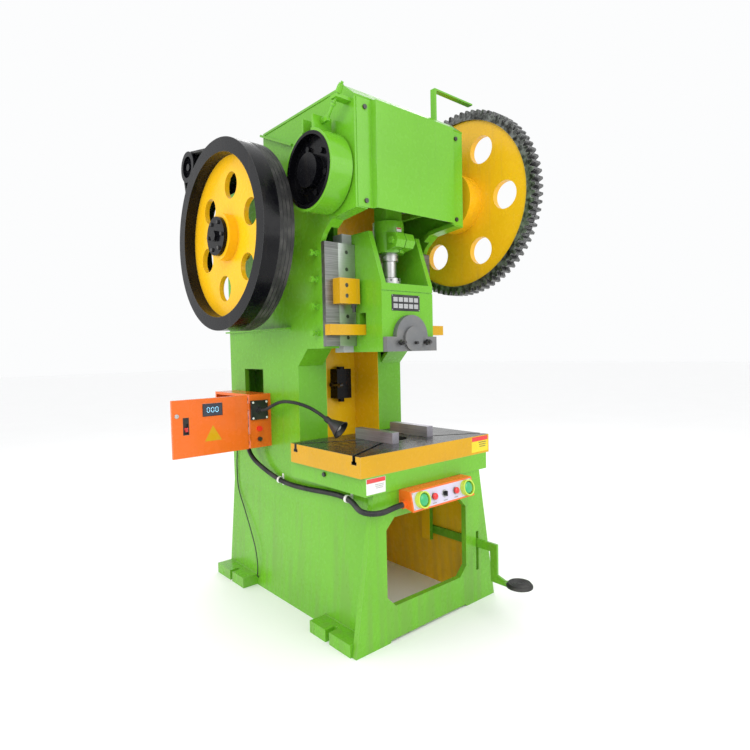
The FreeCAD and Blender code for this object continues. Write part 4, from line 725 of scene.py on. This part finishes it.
# the panel's sloped face: a point on it, the way out of it, and the way up along it
panelSet = {"y": -0.3365, "z": 0.6245, "out": (0, -0.97697, 0.21336), "up": (0, 0.21336, 0.97697),
            "selectorX": 0.006, "screwX": 0.192, "screwRise": 0.034}
capSet = {
    "palm": {"r": 0.027, "low": 0.012, "high": 0.024, "look": "mint"},
    "small": {"r": 0.015, "low": 0.007, "high": 0.019, "look": "red"},
}
buttonSet = {
    "palm_button_left": {"x": -0.146, "kind": "palm", "body": "palm_left"},
    "palm_button_right": {"x": 0.152, "kind": "palm", "body": "palm_right"},
    "stop_button": {"x": -0.066, "kind": "small", "body": "stop_push"},
    "inch_button": {"x": 0.078, "kind": "small", "body": "inch_push"},
}
stemSet = {"r": 0.0087, "foot": -0.026, "under": 0.94, "step": 0.001, "skirt": 0.45, "sides": 56}
bezelSet = {"button": (0.0105, 0.0165, 0.0026), "selector": (0.0112, 0.0175, 0.0024), "lift": 0.0001,
            "bulge": 0.0005, "belt": 0.0012, "slope": 0.001}


def panelSpot(x, rise=0.0):
    # P(x, rise) = face point at x + rise * up
    return np.array((x, panelSet["y"], panelSet["z"])) + rise * np.array(panelSet["up"])


def bezel(name, key, spot):
    # a ring of (bore, rim, top): up the outside to a belt, in along the slope, and back down the bore
    s = bezelSet
    bore, rim, top = s[key]
    profile = [(bore, s["lift"]), (rim, s["lift"]), (rim + s["bulge"], s["belt"]), (rim - s["slope"], top),
               (bore, top), (bore, s["lift"])]
    turnedShape(name, profile, spot, panelSet["out"], "turned")


def makeButtons():
    # each cap is a stem, a flat underside and a quarter ellipse, turned about the way out of the panel
    out, stem = np.array(panelSet["out"]), stemSet
    for name, place in buttonSet.items():
        s = capSet[place["kind"]]
        spot = panelSpot(place["x"])
        skirt = s["low"] + (s["high"] - s["low"]) * stem["skirt"]
        profile = [(0, stem["foot"]), (stem["r"], stem["foot"]), (stem["r"], s["low"]),
                   (s["r"] * stem["under"], s["low"]), (s["r"], s["low"] + stem["step"])]
        profile += domed(s["r"], skirt, s["high"])
        cap = turnedShape(name + "Cap", profile, spot, out, s["look"], place["body"], sides=stem["sides"])
        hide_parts(name)
        if place["kind"] == "small":
            bezel(name + "Bezel", "button", spot)
    bezel("selectorDial", "selector", panelSpot(panelSet["selectorX"]))
    for side, tag in ((-1, "L"), (1, "R")):
        for lift, row in ((-1, "A"), (1, "B")):
            spot = panelSpot(side * panelSet["screwX"], lift * panelSet["screwRise"])
            domeHead(f"panelScrew{tag}{row}", "panel", spot, out, "turned")
    print("buttons made")


def frontSlab(name, s, at=None, half=None):
    # a slab on a face that looks to the front of the press
    return slab(name, at or s["at"], half or s["half"], s["corner"], s["thick"], (1, 0, 0), (0, 0, 1),
                s["look"], s.get("body", "root"))


plateSet = {
    "bedPlateWhite": {"at": (-0.341, -0.265, 0.709), "half": (0.054, 0.034), "corner": 0.003,
                      "thick": 0.0006, "look": "white"},
    "bedPlateBar": {"at": (-0.341, -0.2656, 0.7325), "half": (0.052, 0.0095), "corner": 0.001,
                    "thick": 0.0002, "look": "red"},
    "tablePlateRed": {"at": (0.352, -0.2658, 0.8245), "half": (0.062, 0.011), "corner": 0.002,
                      "thick": 0.0006, "look": "red"},
    "tablePlateYellow": {"at": (0.352, -0.265, 0.7975), "half": (0.064, 0.0385), "corner": 0.002,
                         "thick": 0.0006, "look": "lemon"},
    "ramPlateFrame": {"at": (-0.016, -0.130, 1.4965), "half": (0.0915, 0.0375), "corner": 0.004,
                      "thick": 0.0016, "look": "plastic", "body": "ram"},
    "rodTag": {"at": (0.0, -0.0761, 1.850), "half": (0.016, 0.010), "corner": 0.001, "thick": 0.0006,
               "look": "white", "body": "rod"},
    "rodTagBar": {"at": (0.0, -0.0767, 1.856), "half": (0.015, 0.003), "corner": 0.0005, "thick": 0.0002,
                  "look": "red", "body": "rod"},
}
# short bars in rows: each is one step lower and one cut narrower than the last
barShape = {"corner": 0.0006, "thick": 0.0002, "count": 3, "cut": 0.003}
barSet = {
    "bedPlateLine": {"at": (-0.322, -0.2656, 0.7135), "step": 0.0075, "half": (0.026, 0.0014),
                     "look": "greyPlastic", **barShape},
    "tablePlateLine": {"at": (0.372, -0.2656, 0.8055), "step": 0.0105, "half": (0.030, 0.0018),
                       "look": "bolt", **barShape},
}
cellSet = {"rows": 2, "columns": 5, "pitch": (0.0335, 0.030), "at": (-0.016, -0.1316, 1.4965),
           "half": (0.0138, 0.0108), "corner": 0.001, "thick": 0.0003, "look": "steel", "body": "ram",
           "rivetX": (-0.103, 0.071), "rivetZ": (1.4635, 1.5295)}


def makePlates():
    # generic plates: a pale field, coloured bars, no words
    for name, s in plateSet.items():
        frontSlab(name, s)
    for name, s in barSet.items():
        x, y, z = s["at"]
        for k in range(s["count"]):
            half = (s["half"][0] - s["cut"] * k, s["half"][1])
            frontSlab(f"{name}{k}", s, (x, y, z - s["step"] * k), half)
    s = cellSet
    x, y, z = s["at"]
    for row in range(s["rows"]):
        for column in range(s["columns"]):
            across = (column - (s["columns"] - 1) / 2) * s["pitch"][0]
            rise = (row - (s["rows"] - 1) / 2) * s["pitch"][1]
            frontSlab(f"ramPlateCell{row}{column}", s, (x + across, y, z + rise))
    for i, rivetX in enumerate(s["rivetX"]):
        for k, rivetZ in enumerate(s["rivetZ"]):
            domeHead(f"ramRivet{i}{k}", "ram", (rivetX, y, rivetZ), (0, -1, 0), "turned", "ram")
    print("plates made")


doorSet = {
    "x": -0.677, "y": 0.565, "signZ": 0.875, "signReach": 0.051, "signAngles": [90, 210, 330],
    "signRows": [(0.0, 0.0), (1.0, 0.0), (1.0, -0.0005), (0.985, -0.0009), (0.0, -0.0009)],
    "lock": [(0, 0), (0.0105, 0), (0.0105, 0.0025), (0.0092, 0.0036), (0.0040, 0.0036), (0.0040, 0.0010),
             (0, 0.0010)],
    "lockAt": (-0.8555, 0.565, 0.985),
}
displaySet = {"z": 1.003, "proud": 0.003, "digits": 3, "pitch": 0.022, "across": 0.013, "rise": 0.0115,
              "lying": (0.0045, 0.0011), "standing": (0.0011, 0.0045), "corner": 0.0008, "thick": 0.0003,
              "look": "digits", "body": "door"}
# each stroke of a digit: steps across and up from its middle
strokeSet = {"a": (0, 1), "b": (0.5, 0.5), "c": (0.5, -0.5), "d": (0, -1), "e": (-0.5, -0.5),
             "f": (-0.5, 0.5)}
railSet = {"x": 0.0492, "z": 0.0290, "halfX": (0.0016, 0.0303), "halfZ": (0.0475, 0.0013), "corner": 0.0008,
           "thick": 0.0008, "look": "plastic", "body": "door"}


def makeDoor():
    # bare triangle, display digits from strokes, display rails and lock
    s = doorSet
    a = np.radians(s["signAngles"])
    corners = np.stack([np.cos(a), np.zeros(len(a)), np.sin(a)], 1) * s["signReach"]
    # a triangle carried up a small chamfer
    middle = np.array((s["x"], s["y"], s["signZ"]))
    verts = [middle + corners * size + np.array((0, height, 0)) for size, height in s["signRows"]]
    addPiece("doorTriangle", np.array(verts), gridFaces(len(verts), len(a)), "yellow", "door")
    d = displaySet
    face = s["y"] - d["proud"]
    for digit in range(d["digits"]):
        for key, (dx, dz) in strokeSet.items():
            x = s["x"] + (digit - (d["digits"] - 1) / 2) * d["pitch"] + dx * d["across"]
            frontSlab(f"digit{digit}{key}", d, (x, face, d["z"] + dz * d["rise"]),
                      d["standing"] if dx else d["lying"])
    for side in (-1, 1):
        frontSlab(f"displayRailX{side + 1}", railSet, (s["x"] + side * railSet["x"], face, d["z"]),
                  railSet["halfX"])
        frontSlab(f"displayRailZ{side + 1}", railSet, (s["x"], face, d["z"] + side * railSet["z"]),
                  railSet["halfZ"])
    turnedShape("doorLock", s["lock"], s["lockAt"], (0, -1, 0), "turned", "door")
    print("door made")


contactorSet = {"x": -0.4200, "y": 0.641, "z": 0.982, "count": 3, "pitch": 0.062, "half": (0.020, 0.018),
                "corner": 0.002, "thick": 0.005, "screwZ": (1.012, 0.952), "screws": 3, "screwPitch": 0.015,
                "screw": [(0, 0), (0.0042, 0), (0.0042, 0.0014), (0.0030, 0.0022), (0, 0.0022)]}
terminalSet = {"x": -0.392, "y": 0.640, "z": 0.857, "count": 14, "pitch": 0.0182, "half": (0.0078, 0.014),
               "corner": 0.0012, "thick": 0.006, "group": 5}


def makeCabinetInside():
    # contactor fronts, terminal screws and a rail of terminals, all facing the open side
    s = contactorSet
    for k in range(s["count"]):
        y = s["y"] + s["pitch"] * k
        slab(f"contactorFront{k}", (s["x"], y, s["z"]), s["half"], s["corner"], s["thick"], (0, -1, 0),
             (0, 0, 1), "plastic")
        for row, z in enumerate(s["screwZ"]):
            for n in range(s["screws"]):
                spot = (s["x"], y + (n - 1) * s["screwPitch"], z)
                turnedShape(f"contactorScrew{k}{row}{n}", s["screw"], spot, (-1, 0, 0), "turned", sides=16)
    s = terminalSet
    for n in range(s["count"]):
        last = n % s["group"] == s["group"] - 1
        slab(f"terminal{n}", (s["x"], s["y"] + s["pitch"] * n, s["z"]), s["half"], s["corner"], s["thick"],
             (0, -1, 0), (0, 0, 1), "lime" if last else "greyPlastic")
    print("cabinet filled")


wireSet = {"radius": 0.0014, "front": -0.4165, "rail": -0.3985, "top": 0.944, "low": 0.872, "drop": 0.022,
           "frontY": 0.626, "railY": 0.650, "railPitch": 0.0262, "bow": 0.004, "reach": 0.012,
           "sag": (1.2, 0.2), "steps": 24}


def makeWires():
    # C(t) = cubic from a contactor's lower screw to a terminal, leaving and arriving upright
    s, c = wireSet, contactorSet
    t = np.linspace(0, 1, s["steps"])[:, None]
    for n in range(c["count"] * c["screws"]):
        unit, screw = divmod(n, c["screws"])
        y = s["frontY"] + c["pitch"] * unit + c["screwPitch"] * screw
        start = np.array((s["front"], y, s["top"]))
        end = np.array((s["rail"], s["railY"] + s["railPitch"] * n, s["low"]))
        leave = start - (s["bow"], 0, s["drop"] * (s["sag"][0] + s["sag"][1] * screw))
        arrive = end + (-s["reach"], 0, s["drop"])
        line = (start * (1 - t) ** 3 + 3 * leave * t * (1 - t) ** 2 + 3 * arrive * t ** 2 * (1 - t)
                + end * t ** 3)
        sweep(f"wire{n}", line, np.full(len(t), s["radius"]), "copper" if screw else "blueWire", sides=8)
    print("wires made")


legendSet = {"x": (-0.066, 0.006, 0.078), "rise": -0.029, "half": (0.013, 0.0022), "corner": 0.0008,
             "thick": 0.0003, "edge": 0.0001}


def makePanelLegends():
    # bare bars under the buttons, in place of words
    s = legendSet
    for k, x in enumerate(s["x"]):
        slab(f"panelLegend{k}", panelSpot(x, s["rise"]), s["half"], s["corner"], s["thick"], (1, 0, 0),
             panelSet["up"], "greyPlastic", edge=s["edge"])
    print("legends made")


motorEnd = (0.150, 1.000, 2.308)
fanSet = {"count": 6, "start": (0.022, 0), "step": (0.0145, 0), "sides": 64,
          "profile": [(0, 0), (0, 0.0018), (0.0012, 0.0028), (0.0048, 0.0028), (0.006, 0.0018), (0.006, 0),
                      (0, 0)]}


def makeMotorGrille():
    # rings about the motor's axis, on the fan cover's flat end
    ringRow("fanRing", fanSet, motorEnd, (1, 0, 0), "black")
    print("fan cover made")


weldSet = {"radius": 0.0042, "step": 0.0022, "fewest": 12, "smooth": 0.86, "ripple": 0.10, "pitch": 0.0065,
           "wander": 0.05, "wanderRate": 41}
# seams on both sides are given at positive X
pairedSeams = {
    "bedSide": ((0.3475, -0.228, 0.6675), (0.3475, 0.296, 0.6675)),
    "footRear": ((0.3845, 0.706, 0.0555), (0.3845, 1.012, 0.0555)),
    "footFront": ((0.3845, -0.226, 0.0555), (0.3845, 0.064, 0.0555)),
    "frontEdge": ((0.3493, -0.2292, 0.655), (0.3880, -0.2292, 0.060)),
    "roofEdge": ((0.346, -0.105, 2.4005), (0.346, 0.556, 2.4005)),
    "guideTop": ((0.330, 0.083, 1.7815), (0.262, 0.083, 1.7815)),
}
singleSeams = {
    "shelfUnder": ((-0.3465, 0.352, 1.3915), (-0.3465, 1.013, 1.3915)),
    "ribUnder": ((-0.3465, 0.560, 2.3905), (-0.3465, 0.283, 2.2655)),
    "tieLugSeam": ((-0.3465, -0.159, 2.334), (-0.3465, -0.122, 2.334)),
    "backPlateFoot": ((-0.172, 0.5045, 0.7500), (0.172, 0.5045, 0.7500)),
    "bracketFoot": ((0.236, -0.1035, 2.4125), (0.248, -0.1035, 2.4125)),
}


def weldBead(name, start, end):
    # a half-sunk tube whose radius r(d) ripples along the seam, d metres from its start
    w = weldSet
    start, end = np.array(start, float), np.array(end, float)
    length = np.linalg.norm(end - start)
    s = np.linspace(0, 1, max(w["fewest"], int(length / w["step"])))
    line = start + s[:, None] * (end - start)
    d = s * length
    radius = w["radius"] * (w["smooth"] + w["ripple"] * np.abs(np.sin(d / w["pitch"] * np.pi))
                            + w["wander"] * np.sin(d * w["wanderRate"]))
    sweep(name, line, radius, "weld", sides=8)


def makeWelds():
    # a paired seam is laid once on each side
    for side, tag in ((-1, "L"), (1, "R")):
        for name, seam in pairedSeams.items():
            weldBead(name + tag, *((side * x, y, z) for x, y, z in seam))
    for name, seam in singleSeams.items():
        weldBead(name, *seam)
    print("welds made")


hexSet = {"sides": 36, "crown": 0.86, "crisp": 0.5}


def hexHead(name, centre, axis, flats, height, body="root"):
    # r(a) of a hexagon, cut by a cone at the crown so that only its inscribed circle reaches the top
    u, v, w = basis(axis)
    a = np.linspace(0, 2 * np.pi, hexSet["sides"], endpoint=False)
    across = flats / 2 / np.cos((a + np.pi / 6) % (np.pi / 3) - np.pi / 6)
    ring = np.cos(a)[:, None] * u + np.sin(a)[:, None] * v
    shoulder = height * hexSet["crown"]
    rows = []
    for limit, h in ((0, 0), (math.inf, 0), (math.inf, shoulder), (flats / 2, height), (0, height)):
        r = np.minimum(across, limit)
        rows.append(np.array(centre) + r[:, None] * ring + h * w)
    return addPiece(name, np.array(rows), gridFaces(len(rows), len(a)), "bolt", body, crisp=hexSet["crisp"])


# circles of bolts about axes along X, whose heads point to the given side
bearingSet = {"count": 6, "first": 30, "reach": 0.082, "flats": 0.019, "height": 0.009}
circleSet = {
    "bearingBoltL": {"at": (-0.404, *driveAxis), "side": -1, **bearingSet},
    "bearingBoltR": {"at": (0.404, *driveAxis), "side": 1, **bearingSet},
    "capBolt": {"at": (-0.656, *driveAxis), "side": -1, "count": 6, "first": 0, "reach": 0.070,
                "flats": 0.017, "height": 0.008, "body": "drive"},
    "gearHubBolt": {"at": (0.605, *crankAxis), "side": 1, "count": 6, "first": 0, "reach": 0.118,
                    "flats": 0.027, "height": 0.013, "body": "gear"},
    "fanScrew": {"at": motorEnd, "side": 1, "count": 4, "first": 45, "reach": 0.122, "flats": 0.010,
                 "height": 0.005},
}
bedBoltSet = {"at": (-0.401, 0.020, 0.722), "flats": 0.019, "height": 0.009}
lampScrewSet = {"x": (-0.457, -0.379), "y": 0.560, "z": (0.938, 1.020)}
padSet = {"at": (0.331, -0.507, 0),
          "tread": {"count": 4, "start": (0.012, 0), "step": (0.012, 0), "sides": 64,
                    "profile": [(0, 0.1668), (0.002, 0.1688), (0.005, 0.1688), (0.007, 0.1668), (0, 0.1668)]}}


def makeBolts():
    # bolt k of a circle: centre + reach (cos t, sin t) in Y and Z, at t = first + 360 k / count
    for name, s in circleSet.items():
        x, y, z = s["at"]
        for k in range(s["count"]):
            t = math.radians(s["first"] + 360 * k / s["count"])
            spot = (x, y + s["reach"] * math.cos(t), z + s["reach"] * math.sin(t))
            hexHead(f"{name}{k}", spot, (s["side"], 0, 0), s["flats"], s["height"], s.get("body", "root"))
    hexHead("bedSideBolt", bedBoltSet["at"], (-1, 0, 0), bedBoltSet["flats"], bedBoltSet["height"])
    s = lampScrewSet
    for i, x in enumerate(s["x"]):
        for k, z in enumerate(s["z"]):
            domeHead(f"lampScrew{i}{k}", "lamp", (x, s["y"], z), (0, -1, 0), "white")
    ringRow("padTread", padSet["tread"], padSet["at"], (0, 0, 1), "rubber", "pedal")
    print("bolts made")


floorSet = {"half": 40, "scale": 1.5, "range": (0.3, 0.7), "low": (0.968, 0.968, 0.968, 1),
            "high": (0.978, 0.978, 0.978, 1), "rough": 0.6}


def makeFloor():
    # one wide square at height 0
    s, h = floorSet, floorSet["half"]
    mesh = bpy.data.meshes.new("floor")
    mesh.from_pydata([(-h, -h, 0), (h, -h, 0), (h, h, 0), (-h, h, 0)], [], [(0, 1, 2, 3)])
    mat, net, shader, place = startMaterial("paleFloor")
    tone = net.spread(net.noise(place, s["scale"]), *s["range"])
    net.put(shader.inputs["Base Color"], net.mix(tone, s["low"], s["high"]))
    shader.inputs["Roughness"].default_value = s["rough"]
    mesh.materials.append(mat)
    floor = bpy.data.objects.new("floor", mesh)
    bpy.context.collection.objects.link(floor)
    print("floor made")


placeCamera()
makeCords()
placeLights()
makeFloor()
makeLamp()
makeButtons()
makePlates()
makeDoor()
makeCabinetInside()
makeWires()
makePanelLegends()
makeMotorGrille()
makeWelds()
makeBolts()
